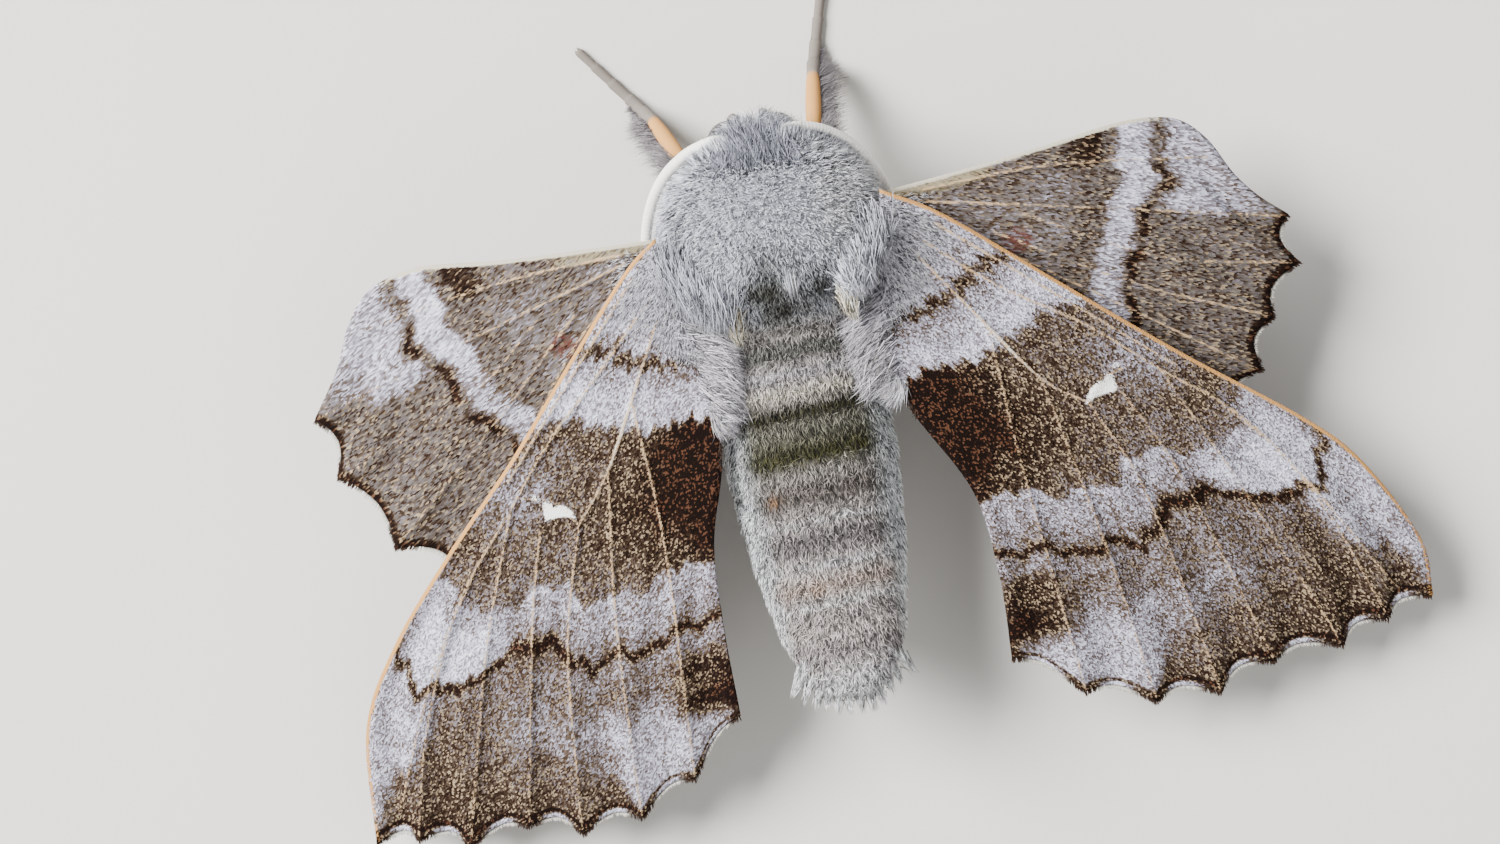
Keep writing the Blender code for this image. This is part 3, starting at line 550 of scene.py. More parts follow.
def pale_corners(u, k, after):
    """1 at the wing's tip and at its rear corner."""
    edge = at(TORNAL_EDGE, k)
    fall = 0.12 * ramp(k, 4.4, 5.6)
    rear = ramp(u, edge - 0.02, edge + 0.02) * ramp(k, 4.0, 5.0) * (1 - ramp(u, 0.90 + fall, 0.96 + fall))
    limit = 1.35 - 1.25 * ramp(u, 0.84, 0.97)
    return np.maximum(rear, after * (1 - ramp(k, limit - 0.25, limit + 0.25)))


def inner_patch(u, k):
    """1 on the brown patch of the inner edge, whose borders slant with k."""
    slant = k - 6
    cover = ramp(u, 0.735 + 0.07 * slant, 0.795 + 0.07 * slant)
    return cover * (1 - ramp(u, 0.85 + 0.14 * slant, 0.90 + 0.14 * slant)) * ramp(k, 5.65, 6.4)


print("the terminal area starts at", terminal_area(0.78, 1.0).round(2))

# %% [markdown]
# Some places have a colour of their own: the buff front edge, the pale stalk of the main vein, and the
# white spot at the end of the cell. Each is a mask, and where they meet the strongest one wins.

# %% Forewing markings
STALK = "#D2CBC0"
FRONT_EDGE = "#C28F54"
SPOT_WHITE = "#FAF8F4"


def strongest(layers, most):
    """A colour for every place, that of its strongest mask, and that mask's value in the fourth number."""
    tint = np.zeros((*layers[0][0].shape, 4))
    for mask, code in layers:
        tint[..., :3] = np.where(mask[..., None] > tint[..., 3:], rgb(code), tint[..., :3])
        tint[..., 3] = np.maximum(tint[..., 3], mask * most)
    return tint


def forewing_tint(s, k, edge_mm, stem_mm):
    """The stalk, the front edge and the white spot."""
    slanted = SPOT_S + 0.0176 * (k - SPOT_K)
    spot = bump(k, SPOT_K, 0.55) * bump(s, slanted, 0.0145 - 0.008 * ramp(k, 1.95, 2.8))
    spot = np.maximum(spot, 0.55 * bump(k, SPOT_K - 0.85, 0.35) * bump(s, SPOT_S - 0.012, 0.005))
    edge = (1 - ramp(edge_mm, 0.17, 0.26)) * (0.86 - 0.5 * ramp(s, 0.75, 1.0))
    stalk = (0.15 + 0.5 * bump(s, 0.27, 0.07)) * (1 - ramp(stem_mm, 0.02 + 0.05 * bump(s, 0.27, 0.06), 0.11))
    stalk = stalk * ramp(s, 0.08, 0.2)
    return strongest(((stalk, STALK), (edge, FRONT_EDGE), (ramp(spot, 0.22, 0.65), SPOT_WHITE)), 0.95)


def forewing_markings(s, k, edge_mm, stem_mm):
    """The share of brown scales, laid area by area from root to margin, and the tint."""
    u = s + ripple(s, k)
    start, end = at(MIDDLE_START, k), at(MIDDLE_END, k)
    post = at(POSTMEDIAN, k) + LUNULE * (np.abs(np.sin(math.pi * k)) - 0.5) * ramp(k, 2.8, 3.8)
    cover, brown = middle_band(u, k, start, end)
    share = mix(inner_area(u, k), brown, cover)
    share = mix(share, OUTER_SHARE + 0.13 * ramp(u, end + 0.05, post), ramp(u, end, end + 0.02))
    share = mix(share, BLOTCH_SHARE, pale_blotch(u, k, end, post))
    after = ramp(u, post, post + 0.02)
    share = mix(share, terminal_area(u, k), after)
    thick = 0.009 + 0.009 * bump(k, 3.2, 0.5)
    share += 0.58 * bump(u, post, thick) * (0.6 + 0.4 * ramp(k, 0.3, 2))
    share -= 0.10 * bump(u, post + 0.035, 0.018) * ramp(k, 3.6, 4.4)
    share = mix(share, CORNER_SHARE, pale_corners(u, k, after))
    share += 0.42 * inner_patch(u, k) + 0.75 * ramp(s, 0.982, 0.992)
    share = np.where(ramp(s, 0.990, 0.996) > 0.5, 0.55 + 0.4 * np.cos(2 * math.pi * k), share)
    return np.clip(share, 0, 1.3), forewing_tint(s, k, edge_mm, stem_mm)


spot_share, spot_tint = forewing_markings(*np.array([[[SPOT_S]], [[SPOT_K]], [[5.0]], [[5.0]]]))
print("at the spot: share of brown", spot_share.round(2), "and tint", spot_tint.round(2))

# %% [markdown]
# The hindwing is greyer. Its middle is mottled brown, then comes a pale band, a dark wavy line and a
# terminal area that is pale in front and brown behind. A brick-red patch, hidden in most poses, just
# shows in front of the forewing. The front edge is rolled and cream towards the root.

# %% Hindwing markings
HIND_LINE = [(0, 0.638), (0.8, 0.650), (1.2, 0.652), (1.6, 0.640), (2.0, 0.648), (2.3, 0.640), (2.7, 0.655),
             (4, 0.70)]
HIND_LINE_WIDTH = 0.019
HIND_SHARE = 0.56
HIND_PALE_SHARE = 0.21
HIND_FRONT_SHARE = 0.28
HIND_TERMINAL_SHARE = 0.68
HIND_GREY = "#5F5956"
FRONT_BUFF = "#8A7F66"
FRONT_CREAM = "#BFB7A4"
BRICK_RED = "#573630"


def hindwing_middle(u, s, k):
    """Mottled brown, darker before the pale band and in the shadow of the rolled front edge."""
    share = HIND_SHARE + 0.05 * np.sin(41 * k + 13 * s) * np.sin(23 * s + 5 * k)
    share += 0.14 * bump(u, 0.50, 0.045) - 0.06 * bump(u, 0.40, 0.04) * (1 - ramp(k, 1.2, 2.2))
    front = (1 - ramp(k, 0.45, 0.95)) * ramp(s, 0.05, 0.12) * (1 - ramp(s, 0.50, 0.53))
    share += (0.08 + 0.19 * bump(s, 0.46, 0.08)) * front
    return share + 0.08 * bump(s, 0.255, 0.06) * bump(k, 0.8, 0.4)


def hindwing_terminal(u, k):
    """Pale in front and brown behind a border that moves forwards towards the margin."""
    front = HIND_FRONT_SHARE + 0.12 * ramp(u, 0.78, 0.92) + 0.16 * ramp(u, 0.88, 0.97)
    border = 1.35 - 1.1 * ramp(u, 0.70, 0.98)
    return mix(front, HIND_TERMINAL_SHARE, ramp(k, border - 0.15, border + 0.15))


def hindwing_tint(s, k, share, edge_mm):
    """Grey scales over the brown, the buff and cream of the front edge, and the red patch."""
    grey = 0.34 * ramp(share, 0.42, 0.52) * (1 - ramp(share, 0.75, 0.9))
    roll = (1 - ramp(edge_mm, 0.14, 0.30)) * (1 - ramp(s, 0.55, 0.7))
    buff = 0.6 * (1 - ramp(edge_mm, 0.5, 1.3)) * (1 - ramp(s, 0.16, 0.36))
    red = 0.55 * bump(k, 2.2, 0.45) * bump(s, 0.33, 0.055)
    layers = ((grey, HIND_GREY), (buff, FRONT_BUFF), (roll, FRONT_CREAM), (red, BRICK_RED))
    return strongest(layers, 0.9)


def hindwing_markings(s, k, edge_mm, stem_mm):
    """The share of brown scales, laid area by area from root to margin, and the tint."""
    u = s + 0.9 * ripple(s, k)
    line = at(HIND_LINE, k)
    outer = ramp(u, line + 0.014, line + 0.036)
    light = ramp(u, 0.535, 0.565) * (1 - outer)
    share = mix(hindwing_middle(u, s, k), HIND_PALE_SHARE + 0.10 * ramp(k, 1.4, 2.0), light)
    share = mix(share, hindwing_terminal(u, k), outer)
    strokes = 0.6 + 0.4 * ramp(np.abs(np.sin(1.5 * math.pi * k + 0.4)), 0.25, 0.7)
    share += (0.6 + 0.4 * ramp(k, 0.3, 1.0)) * strokes * 0.80 * bump(u, line, HIND_LINE_WIDTH)
    share += 0.5 * ramp(s, 0.978, 0.990)
    return np.clip(share, 0, 1.05), hindwing_tint(s, k, share, edge_mm)


MARKINGS = {"forewing": forewing_markings, "hindwing": hindwing_markings}
print("hindwing line at", at(HIND_LINE, 1.0))

# %% [markdown]
# A wing is closed: an upper and an under face joined round the rim, 0.34 mm apart and thinner at the
# edge. Veins stand up as low ridges, and the membrane ripples from vein to vein near the margin. The
# scales' UV map is in millimetres, and the hindwing's scales are drawn twice as long, as streaks.

# %% Wing surfaces
WING_ROWS = {"forewing": 165, "hindwing": 120}
STEM_VEIN = {"forewing": 5, "hindwing": 2}
SCALE_STRETCH = {"forewing": 1, "hindwing": 0.5}
VEIN_POINTS = 14
THICK_MM = 0.34
EDGE_MM = 0.10
VEIN_RISE_MM = 0.14
VEIN_WIDE_MM = 0.2
PLEAT_MM = 0.16
UNDER_UV_SHIFT = 50
UNDER_SHARE = 0.42
wing_maps = {}


def rim_faces(rows, columns):
    """Faces that join the borders of two stacked grids of the same size."""
    index = np.arange(rows * columns).reshape(rows, columns)
    loop = np.r_[index[0, :-1], index[:-1, -1], index[-1, :0:-1], index[:0:-1, 0]]
    following = np.roll(loop, -1)
    return np.column_stack([following, loop, loop + rows * columns, following + rows * columns])


def wing_faces(wing, rows, columns):
    """Upper face, under face and rim, turned so that all point outwards on either side of the body."""
    quads = grid_faces(rows, columns)
    faces = np.vstack([quads, quads[:, ::-1] + rows * columns, rim_faces(rows, columns)])
    return faces[:, ::-1] if wing["side"] > 0 else faces


def wing_levels(wing, plan, s, k, vein):
    """Middle: the wing's height plus a cosine pleat from vein to vein. The faces lie half a thickness off
    it, and bells of the distance to a vein raise the upper one."""
    across = k / (len(wing["tips"]) - 1)
    rim = np.minimum.reduce([ramp(s, 0, 0.01), ramp(1 - s, 0, 0.04), ramp(across, 0, 0.02),
                             ramp(1 - across, 0, 0.03)])
    half = (EDGE_MM + (THICK_MM - EDGE_MM) * rim) / 2
    middle = wing_height(wing, plan) + PLEAT_MM * np.cos(2 * math.pi * k) * ramp(s, 0.35, 0.9)
    ridge = VEIN_RISE_MM * np.exp(-((vein / VEIN_WIDE_MM) ** 2)) * rim
    return middle, middle + half + ridge, middle - half


print("a wing is", THICK_MM, "mm thick and", EDGE_MM, "mm at its edge")

# %% [markdown]
# The wing's mesh carries what the shader needs on its points: the share of brown, the tint and the
# distance to the nearest vein. Its underside is a plainer, browner copy of the upper face.

# %% Build the wings
def build_wing(name):
    """Both faces of one wing with its markings, UVs for the scales and its replaced node."""
    wing = WINGS[name]
    kind = name.split("_")[0]
    plan, s, k = wing_plan(wing, WING_ROWS[kind])
    vein = np.minimum.reduce([nearest(plan, even(line, VEIN_POINTS)) for line in wing["veins"]])
    stem = vein * (0.8 + 0.2 * ramp(s, 0.30, 0.42))
    edge_mm = nearest(plan, plan[:, 0][::4])
    stem_mm = nearest(plan, even(wing["veins"][STEM_VEIN[kind]], VEIN_POINTS))
    share, tint = MARKINGS[kind](s, k, edge_mm, stem_mm)
    under_share = UNDER_SHARE + 0.35 * (share - 0.4) * ramp(s, 0.4, 0.7)
    under_tint = tint * np.array([1, 1, 1, 0.5])
    middle, top, under = wing_levels(wing, plan, s, k, vein)
    x, y = plan[..., 0] * wing["side"], plan[..., 1]
    points = np.vstack([np.dstack([x, y, level]).reshape(-1, 3) for level in (top, under)])
    out, back, _ = wing_own(wing, plan)
    uv = np.dstack([out * SCALE_STRETCH[kind], back]).reshape(-1, 2)
    made = make_mesh(name + "_scaled", points, wing_faces(wing, *s.shape), WING_SCALES,
                     uv=np.vstack([uv, uv + UNDER_UV_SHIFT]),
                     brown=np.r_[share.ravel(), under_share.ravel()],
                     tint=np.vstack([tint.reshape(-1, 4), under_tint.reshape(-1, 4)]),
                     vein_mm=np.r_[stem.ravel(), vein.ravel()])
    made.data.uv_layers[0].name = "scales"
    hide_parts(name)
    wing_maps[name] = (plan, s, k, middle, share, edge_mm)


for wing_name in WINGS:
    build_wing(wing_name)

# %% [markdown]
# The body under the fur is one skin from face to tail, a tube of superellipse rings. It lies inside the
# packed head, thorax and abdomen by the depth of the coat, and the hair tips come out to their surface.
# The abdomen's own rings step outwards a little at their rear edges.

# %% The skin under the fur
BODY_POWER = 2.25
SKIN_ROWS = 220
SKIN_SIDES = 96
# Rows are y, half width, underside and top.
SKIN = [
    (16.3, 0.35, 8.5, 9.5), (16.05, 1.05, 7.0, 10.2), (15.6, 1.75, 6.1, 10.8), (15.0, 2.15, 5.8, 11.3),
    (14.5, 3.0, 5.9, 11.7), (13.9, 4.1, 5.6, 12.4), (12.8, 5.05, 5.0, 13.3), (11.4, 5.6, 4.6, 14.1),
    (10.0, 5.8, 4.4, 14.5), (8.4, 5.8, 4.4, 14.6), (6.9, 5.2, 4.5, 13.8), (5.4, 4.4, 4.5, 12.3),
    (4.4, 4.1, 4.3, 11.5), (2.6, 4.3, 3.5, 11.2), (0.2, 4.6, 2.9, 10.9), (-2.3, 4.75, 2.4, 10.5),
    (-5.5, 4.55, 2.2, 9.9), (-8.4, 4.2, 2.5, 9.6), (-10.8, 3.75, 3.3, 9.5), (-12.8, 3.3, 4.6, 9.7),
    (-14.6, 2.4, 6.3, 9.9), (-15.5, 1.6, 7.4, 9.8), (-15.9, 0.3, 8.5, 9.0),
]
RING_EDGES = [4.6, 1.0, -1.0, -3.3, -6.0, -8.4, -10.5, -12.7, -14.5]
RING_STEP = 0.015


def ring_phase(y):
    """How far a place is through its own body ring, from 0 in front to 1 at the ring's rear edge."""
    edges = -np.array(RING_EDGES)
    step = np.clip(np.interp(-y, edges, np.arange(len(edges))), 0, len(edges) - 1.001)
    return np.where(y > RING_EDGES[0], 1.0, step - np.floor(step))


def rounded(wave):
    """A cosine or sine made squarer, as a superellipse has it: its size to the power 2 over BODY_POWER."""
    return np.sign(wave) * np.abs(wave) ** (2 / BODY_POWER)


def skin_grid():
    """Rings of the skin, evenly spaced along it, with the last column repeating the first."""
    y, half, low, high = even(SKIN, SKIN_ROWS).T
    swell = 1 - RING_STEP * (1 - ring_phase(y)) * (y < RING_EDGES[0])
    angle = np.linspace(0, 2 * math.pi, SKIN_SIDES + 1)
    x = (half * swell)[:, None] * rounded(np.cos(angle))
    z = ((low + high) / 2)[:, None] + ((high - low) / 2 * swell)[:, None] * rounded(np.sin(angle))
    return np.dstack([x, np.broadcast_to(y[:, None], x.shape), z])


SKIN_GRID = skin_grid()
print("skin rings:", SKIN_GRID.shape)

# %% [markdown]
# The coat's colour is written once, as a function of place, and both skin and hair read it. The back is
# blue-grey with dark olive hollows behind the shoulders, their darkness partly painted shade; the abdomen
# has olive and cream bands and a pale line at the rear of each ring. The abdomen's pale sides are made paler
# with painted light, and the right shoulder carries a painted highlight. Bands run across the back, and
# spots are round.

# %% Colours of the coat
# Rows are y, half width, strength and colour.
COAT_BANDS = [
    (-1.0, 1.9, 0.72, "#595839"), (3.6, 0.75, 0.85, "#474C45"), (2.35, 0.5, 0.5, "#B7B4BC"),
    (1.35, 0.40, 0.7, "#D6CEBB"), (0.2, 0.55, 1.0, "#2E2C14"), (-0.85, 0.4, 0.3, "#7C7E70"),
    (-2.1, 0.95, 1.0, "#3F3E1F"), (-3.2, 0.17, 0.6, "#D6D2C8"), (-4.35, 1.0, 0.85, "#5C534C"),
    (-5.85, 0.18, 0.75, "#E3E2E2"), (-6.95, 0.85, 0.75, "#625D5D"), (-8.3, 0.2, 0.7, "#E0DFE0"),
    (-9.5, 0.5, 0.5, "#A88670"), (-10.5, 0.22, 0.7, "#DEDDDD"), (-11.4, 0.4, 0.45, "#8C8482"),
    (-13.2, 0.6, 0.6, "#7F7675"), (-15.5, 1.2, 0.8, "#DFE0E2"),
]
# Rows are x, y, radius, strength and colour. The darkest olive spots, in the hollows behind the shoulders,
# are partly painted shade.
COAT_SPOTS_AND_HOLLOW_SHADE = [
    (0.3, 6.6, 2.0, 0.5, "#66674F"), (-0.65, 8.4, 1.0, 0.5, "#55564C"), (-0.65, 6.9, 0.75, 0.9, "#26250F"),
    (-1.55, 6.95, 0.75, 0.85, "#2E2C14"), (0.0, 5.8, 0.7, 0.9, "#26220E"), (-0.9, 5.7, 0.7, 0.7, "#3A3922"),
    (2.15, 6.8, 0.8, 0.85, "#2A2814"), (1.2, 5.9, 0.5, 0.6, "#3A3826"), (3.5, 7.1, 0.4, 0.7, "#3A3626"),
    (-2.8, 5.2, 0.6, 0.8, "#D8CCB2"), (3.35, 5.7, 0.5, 0.7, "#D8CCB2"), (3.6, 3.0, 0.45, 0.6, "#4A463A"),
    (-2.6, -4.5, 0.35, 0.7, "#B07A3E"), (-1.05, -9.8, 0.4, 0.45, "#C08E58"),
]
ABDOMEN_GREY = "#C7BFBB"
THORAX_GREY = "#D4D6E0"
PALE_FLANK_WITH_PAINTED_LIGHT = "#E4E8EA"
CROWN_GREY = "#9C9DA6"
PAINTED_SHOULDER_HIGHLIGHT = "#FAFBFF"
BREAST_GREY = "#A39C94"
BAND_SLANT = 0.04


def tone_at(place):
    """The coat's linear colour at body places: a base for each region, then soft spots and bands over it,
    with painted light on the flanks and the right shoulder and painted shade in the hollows of the back.
    """
    x, y, z = place.T
    wide = np.abs(x)
    thorax = ramp(y, 4.6, 5.8)
    colour = mix(rgb(ABDOMEN_GREY), rgb(THORAX_GREY), thorax[:, None])

    def blend(mask, code):
        """Moves the colour towards a code by the mask."""
        colour[:] = mix(colour, rgb(code), mask[:, None])

    # The abdomen's sides are pale grey of their own, and this makes them paler still with painted light, as
    # where light falls on the flanks.
    blend(0.9 * (1 - thorax) * ramp(z, 4.0, 7.0) * ramp(wide, 2.6, 3.9) * ramp(-y, -3.5, -0.5), PALE_FLANK_WITH_PAINTED_LIGHT)
    back = (1 - thorax) * ramp(z, 6.5, 9.0) * (1 - 0.85 * ramp(wide, 2.9, 4.2))
    for centre, width, strength, code in COAT_BANDS:
        blend(strength * back * bump(y, centre + BAND_SLANT * x, width), code)
    # The darkest olive spots sit in the hollows behind the shoulders, and their darkness is partly painted
    # shade.
    for centre_x, centre_y, radius, strength, code in COAT_SPOTS_AND_HOLLOW_SHADE:
        near = np.exp(-(((x - centre_x) ** 2 + (y - centre_y) ** 2) / radius**2))
        blend(strength * near * ramp(z, 8.5, 10.0), code)
    blend(0.5 * ramp(y, 13.8, 15.2) * ramp(z, 9.5, 11.0), CROWN_GREY)
    # Painted highlight: the right side of the thorax is lightened almost to white, as where light falls on
    # it.
    blend(0.85 * thorax * ramp(x, 1.8, 3.4) * bump(y, 11.4, 3.0) * ramp(z, 7.0, 9.5), PAINTED_SHOULDER_HIGHLIGHT)
    blend(0.75 * (1 - ramp(z, 6.5, 9.0)) * thorax, BREAST_GREY)
    return colour


print("coat has", len(COAT_BANDS), "bands and", len(COAT_SPOTS_AND_HOLLOW_SHADE), "spots")

# %% [markdown]
# Hair has no gloss of its own here, only a faint sheen, because fine down scatters light every way. One
# material serves all of it, and the colour is stored on the points, darkened towards the root of each hair
# with painted shade.

# %% Hair material
def fur_material(name):
    """Soft hair whose colour is stored on its points."""
    made, tree, shader = new_material(name, 0.9, Specular_IOR_Level=0.12, Sheen_Weight=0.05,
                                      Sheen_Roughness=0.5)
    tone = node(tree, "Attribute", attribute_name="tone").outputs["Color"]
    tree.links.new(tone, shader.inputs["Base Color"])
    return made


FUR = fur_material("moth_fur")
print("made", FUR.name)

# %% [markdown]
# Hair grows at random places, more of them where the skin's faces are larger. Its colour varies too:
# each tuft is a little lighter or darker, the fur is lumpy, and dark hairs stand among pale ones.

# %% Sow and vary
random = np.random.default_rng(23)
DARK_CHANCE = 0.32
DARK_HAIR = 0.22
PALE_HAIR = 1.34


def sow(grid, count, weight=1.0):
    """Random places on a grid surface, more where faces are larger or weigh more, with normals and spots."""
    a, b, c, d = grid[:-1, :-1], grid[1:, :-1], grid[:-1, 1:], grid[1:, 1:]
    square = np.cross(c - a, b - a)
    area = np.linalg.norm(square, axis=-1)
    chance = (area * weight).ravel()
    row, column = np.divmod(random.choice(area.size, count, p=chance / chance.sum()), area.shape[1])
    f, g = random.random((2, count, 1))
    low = mix(a[row, column], c[row, column], g)
    high = mix(b[row, column], d[row, column], g)
    spot = np.column_stack([(column + g[:, 0]) / area.shape[1], (row + f[:, 0]) / area.shape[0]])
    return mix(low, high, f), square[row, column] / area[row, column, None], spot


def jitter(tone, amount):
    """Each tuft a little lighter or darker than its neighbours."""
    return tone * (1 + amount * random.standard_normal((len(tone), 1))).clip(0.3, 1.9)


def speckled(tone):
    """Salt and pepper: about one tuft in three is much darker, and the others are lighter."""
    return tone * np.where(random.random((len(tone), 1)) < DARK_CHANCE, DARK_HAIR, PALE_HAIR)


def lumpy(place):
    """A soft unevenness of the fur about a millimetre across: two crossed pairs of waves, 0.75 to 1.25."""
    x, y, z = place.T
    coarse = np.sin(5.1 * x + 3.3 * y) * np.sin(4.3 * y - 2.7 * x + 3 * z)
    fine = np.sin(9.3 * y + 4.1 * x + 1) * np.sin(8.7 * x)
    return (1 + 0.15 * (coarse + 0.7 * fine))[:, None]


print("speckling keeps the mean at", round(DARK_CHANCE * DARK_HAIR + (1 - DARK_CHANCE) * PALE_HAIR, 2))

# %% [markdown]
# Each tuft is a three-sided tapered prism that leaves the skin at an angle and bends over along the
# lie. It is solid, so it can be exported, and thousands are made at once: one row of a big array is one
# tuft. For baking, each has a small patch of the skin's own unwrap.

# %% Tufts
PATCH = 0.003
SHORT_STEPS = (0.0, 0.5)
LONG_STEPS = (0.0, 0.35, 0.7)
# Corners of a tuft's cross-section, sideways and upwards, for a width of 1.
CORNERS = np.array([(-0.5, 0.0), (0.5, 0.0), (0.0, 0.6)])
SUNK_MM = 0.08
TIP_SHADE = 1.15


def tuft_points(place, normal, lie, length, width, lift, steps, droop):
    """t along a tuft moves it t along the lie and t - droop*t*t off the skin, and narrows it by t^1.6."""
    normal = unit(normal)
    lie = unit(lie - normal * (lie * normal).sum(-1, keepdims=True))
    side = np.cross(normal, lie)
    t = np.array([*steps, 1.0])[None, :, None]
    run = np.cos(lift) * lie[:, None] * t + np.sin(lift) * normal[:, None] * (t - droop * t * t)
    path = (place - SUNK_MM * normal)[:, None] + length * run
    taper = width * (1 - t[:, :-1] ** 1.6)
    rings = path[:, :-1, None] + (taper * side[:, None])[:, :, None] * CORNERS[:, 0, None]
    rings = rings + (taper * normal[:, None])[:, :, None] * CORNERS[:, 1, None]
    return np.concatenate([rings.reshape(len(place), -1, 3), path[:, -1:]], 1)


def tuft_faces(count, levels):
    """A closed root, three pairs of faces between one ring and the next, and three up to the tip."""
    faces = [(0, 2, 1)]
    for level in range(levels - 1):
        for corner in range(3):
            a, b = level * 3 + corner, level * 3 + (corner + 1) % 3
            faces += [(a, b, b + 3), (a, b + 3, a + 3)]
    last = levels * 3
    faces += [(last - 3 + corner, last - 3 + (corner + 1) % 3, last) for corner in range(3)]
    return (np.arange(count)[:, None, None] * (last + 1) + np.array(faces)).reshape(-1, 3)


def make_tufts(name, place, normal, spot, lie, length, width, lift, tone, steps=SHORT_STEPS, droop=0.4,
               painted_root_shade=0.4):
    """One mesh of tapered tufts, darkened towards the root with painted shade, each with its patch of the
    unwrap at its spot.
    """
    count, levels = len(place), len(steps)
    length, width, lift = (np.broadcast_to(value, count)[:, None, None] for value in (length, width, lift))
    points = tuft_points(place, normal, lie, length, width, lift, steps, droop)
    along = np.append(np.repeat(steps, 3), 1.0)
    across = np.append(np.tile([0.0, 1.0, 0.5], levels), 0.5)
    # Painted shade: each tuft is darkened towards its root, where the fur crowds, and lightened by TIP_SHADE
    # at its tip.
    shade = np.minimum((painted_root_shade + (TIP_SHADE - painted_root_shade) * along)[None, :, None] * tone[:, None], 1.0)
    colour = np.concatenate([shade, np.ones((*shade.shape[:2], 1))], -1)
    uv = spot[:, None] * (1 - PATCH) + PATCH * np.column_stack([across, along])[None]
    made = make_mesh(name, points.reshape(-1, 3), tuft_faces(count, levels), FUR,
                     uv=uv.reshape(-1, 2), tone=colour.reshape(-1, 4))


print("a short tuft has", len(tuft_faces(1, len(SHORT_STEPS))), "faces, a long one",
      len(tuft_faces(1, len(LONG_STEPS))))

# %% [markdown]
# The skin itself takes the same colours, darkened with painted shade as the roots of hair look, with a fine
# mottling. It is quite dull, so nothing shines through the coat.

# %% Dress the skin
MOTTLING_PER_M = 4000.0
SKIN_PAINTED_SHADE = 0.6


def skin_material():
    """The skin's stored colour times a noise a quarter of a millimetre across."""
    made, tree, shader = new_material("fur_roots", 0.95)
    tone = node(tree, "Attribute", attribute_name="tone").outputs["Color"]
    place = node(tree, "TexCoord").outputs["Object"]
    grain = node(tree, "TexNoise", {"Vector": place, "Scale": MOTTLING_PER_M, "Detail": 2.0}).outputs[0]
    level = node(tree, "MapRange", {0: grain, 1: 0.3, 2: 0.7, 3: 0.5, 4: 0.9}).outputs[0]
    mixed = node(tree, "Mix", {0: 1.0, 6: tone, 7: level}, data_type="RGBA",
                 blend_type="MULTIPLY").outputs[2]
    tree.links.new(mixed, shader.inputs["Base Color"])
    return made


def make_skin():
    """The closed skin, with a cap point at the face and at the tail."""
    rings = SKIN_GRID[:, :-1]
    rows, sides = rings.shape[:2]
    points = np.vstack([rings.reshape(-1, 3), rings[0].mean(0), rings[-1].mean(0)])
    quads = grid_faces(rows, sides, closed=True)
    first = np.arange(sides)
    last = first + (rows - 1) * sides
    front = np.column_stack([np.roll(first, -1), first, np.full(sides, rows * sides)])
    rear = np.column_stack([last, np.roll(last, -1), np.full(sides, rows * sides + 1)])
    faces = np.vstack([quads[:, [0, 1, 2]], quads[:, [0, 2, 3]], front, rear])
    # Painted shade: the skin is darker than the coat, as under the hair.
    tone = np.column_stack([SKIN_PAINTED_SHADE * tone_at(points), np.ones(len(points))])
    made = make_mesh("body_skin", points, faces, skin_material(), tone=tone)
    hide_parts("head", "thorax", "abdomen")


make_skin()

# %% [markdown]
# The short fur is thickest on the back. It lies rearwards all over, spreads from the middle of the back
# and turns down over the face, and on the thorax it stands almost upright, as plush does.

# %% Short fur
LIE_SPREAD = 0.55


def lie_at(place):
    """Rearwards, turned outwards on the thorax and downwards on the face, with a random part."""
    x, y, z = place.T
    lie = np.column_stack([0.10 * x * ramp(y, 4, 8), np.full(len(x), -1.0), np.zeros(len(x))])
    face = ramp(y, 15.6, 16.4)
    lie[:, 2] -= 1.2 * face
    lie[:, 0] += 0.25 * face * np.sign(x)
    return lie + LIE_SPREAD * random.standard_normal(lie.shape)


def longer(place):
    """Hair is longer down the sides of the thorax, where it reaches out to the feelers and the wings."""
    x, y, z = place.T
    flank = ramp(12.9 - z, 0.0, 1.8) * ramp(z, 6.5, 8.5) * ramp(y, 7.0, 9.0)
    return 1 + (1.35 + 0.25 * np.sign(x)) * flank


def coat(name, low, high, count, length, width, lift, side=0):
    """Short fur between two places along the body on one piece of mesh, on one side or, with 0, on both."""
    rows = SKIN_GRID[:, 0, 1]
    part = SKIN_GRID[(rows >= low) & (rows <= high)]
    centre = (part[:-1, :-1] + part[1:, 1:]) / 2
    weight = 0.45 + 0.55 * ramp(centre[..., 2], 6.0, 8.5)
    if side:
        weight = weight * ((centre[..., 0] * side > 0) + 1e-9)
    place, normal, spot = sow(part, count, weight)
    spot[:, 1] = np.interp(place[:, 1], rows[::-1], np.linspace(1, 0, len(rows)))
    size = random.uniform(0.75, 1.25, count)
    tone = speckled(jitter(tone_at(place), 0.2)) * lumpy(place)
    reach = length * size * (0.94 + 0.12 * ring_phase(place[:, 1])) * longer(place)
    make_tufts(name, place, normal, spot, lie_at(place), reach, width * size,
               lift * random.uniform(0.8, 1.2, count), tone)


coat("coat_head", low=14.0, high=16.8, count=5600, length=0.65, width=0.055, lift=1.0)
for side_name, side in SIDES:
    coat("coat_thorax_" + side_name, low=4.9, high=14.5, count=18500, length=0.66, width=0.054, lift=1.15,
         side=side)
    coat("coat_abdomen_" + side_name, low=-16.0, high=5.2, count=15500, length=0.68, width=0.064, lift=0.68,
         side=side)

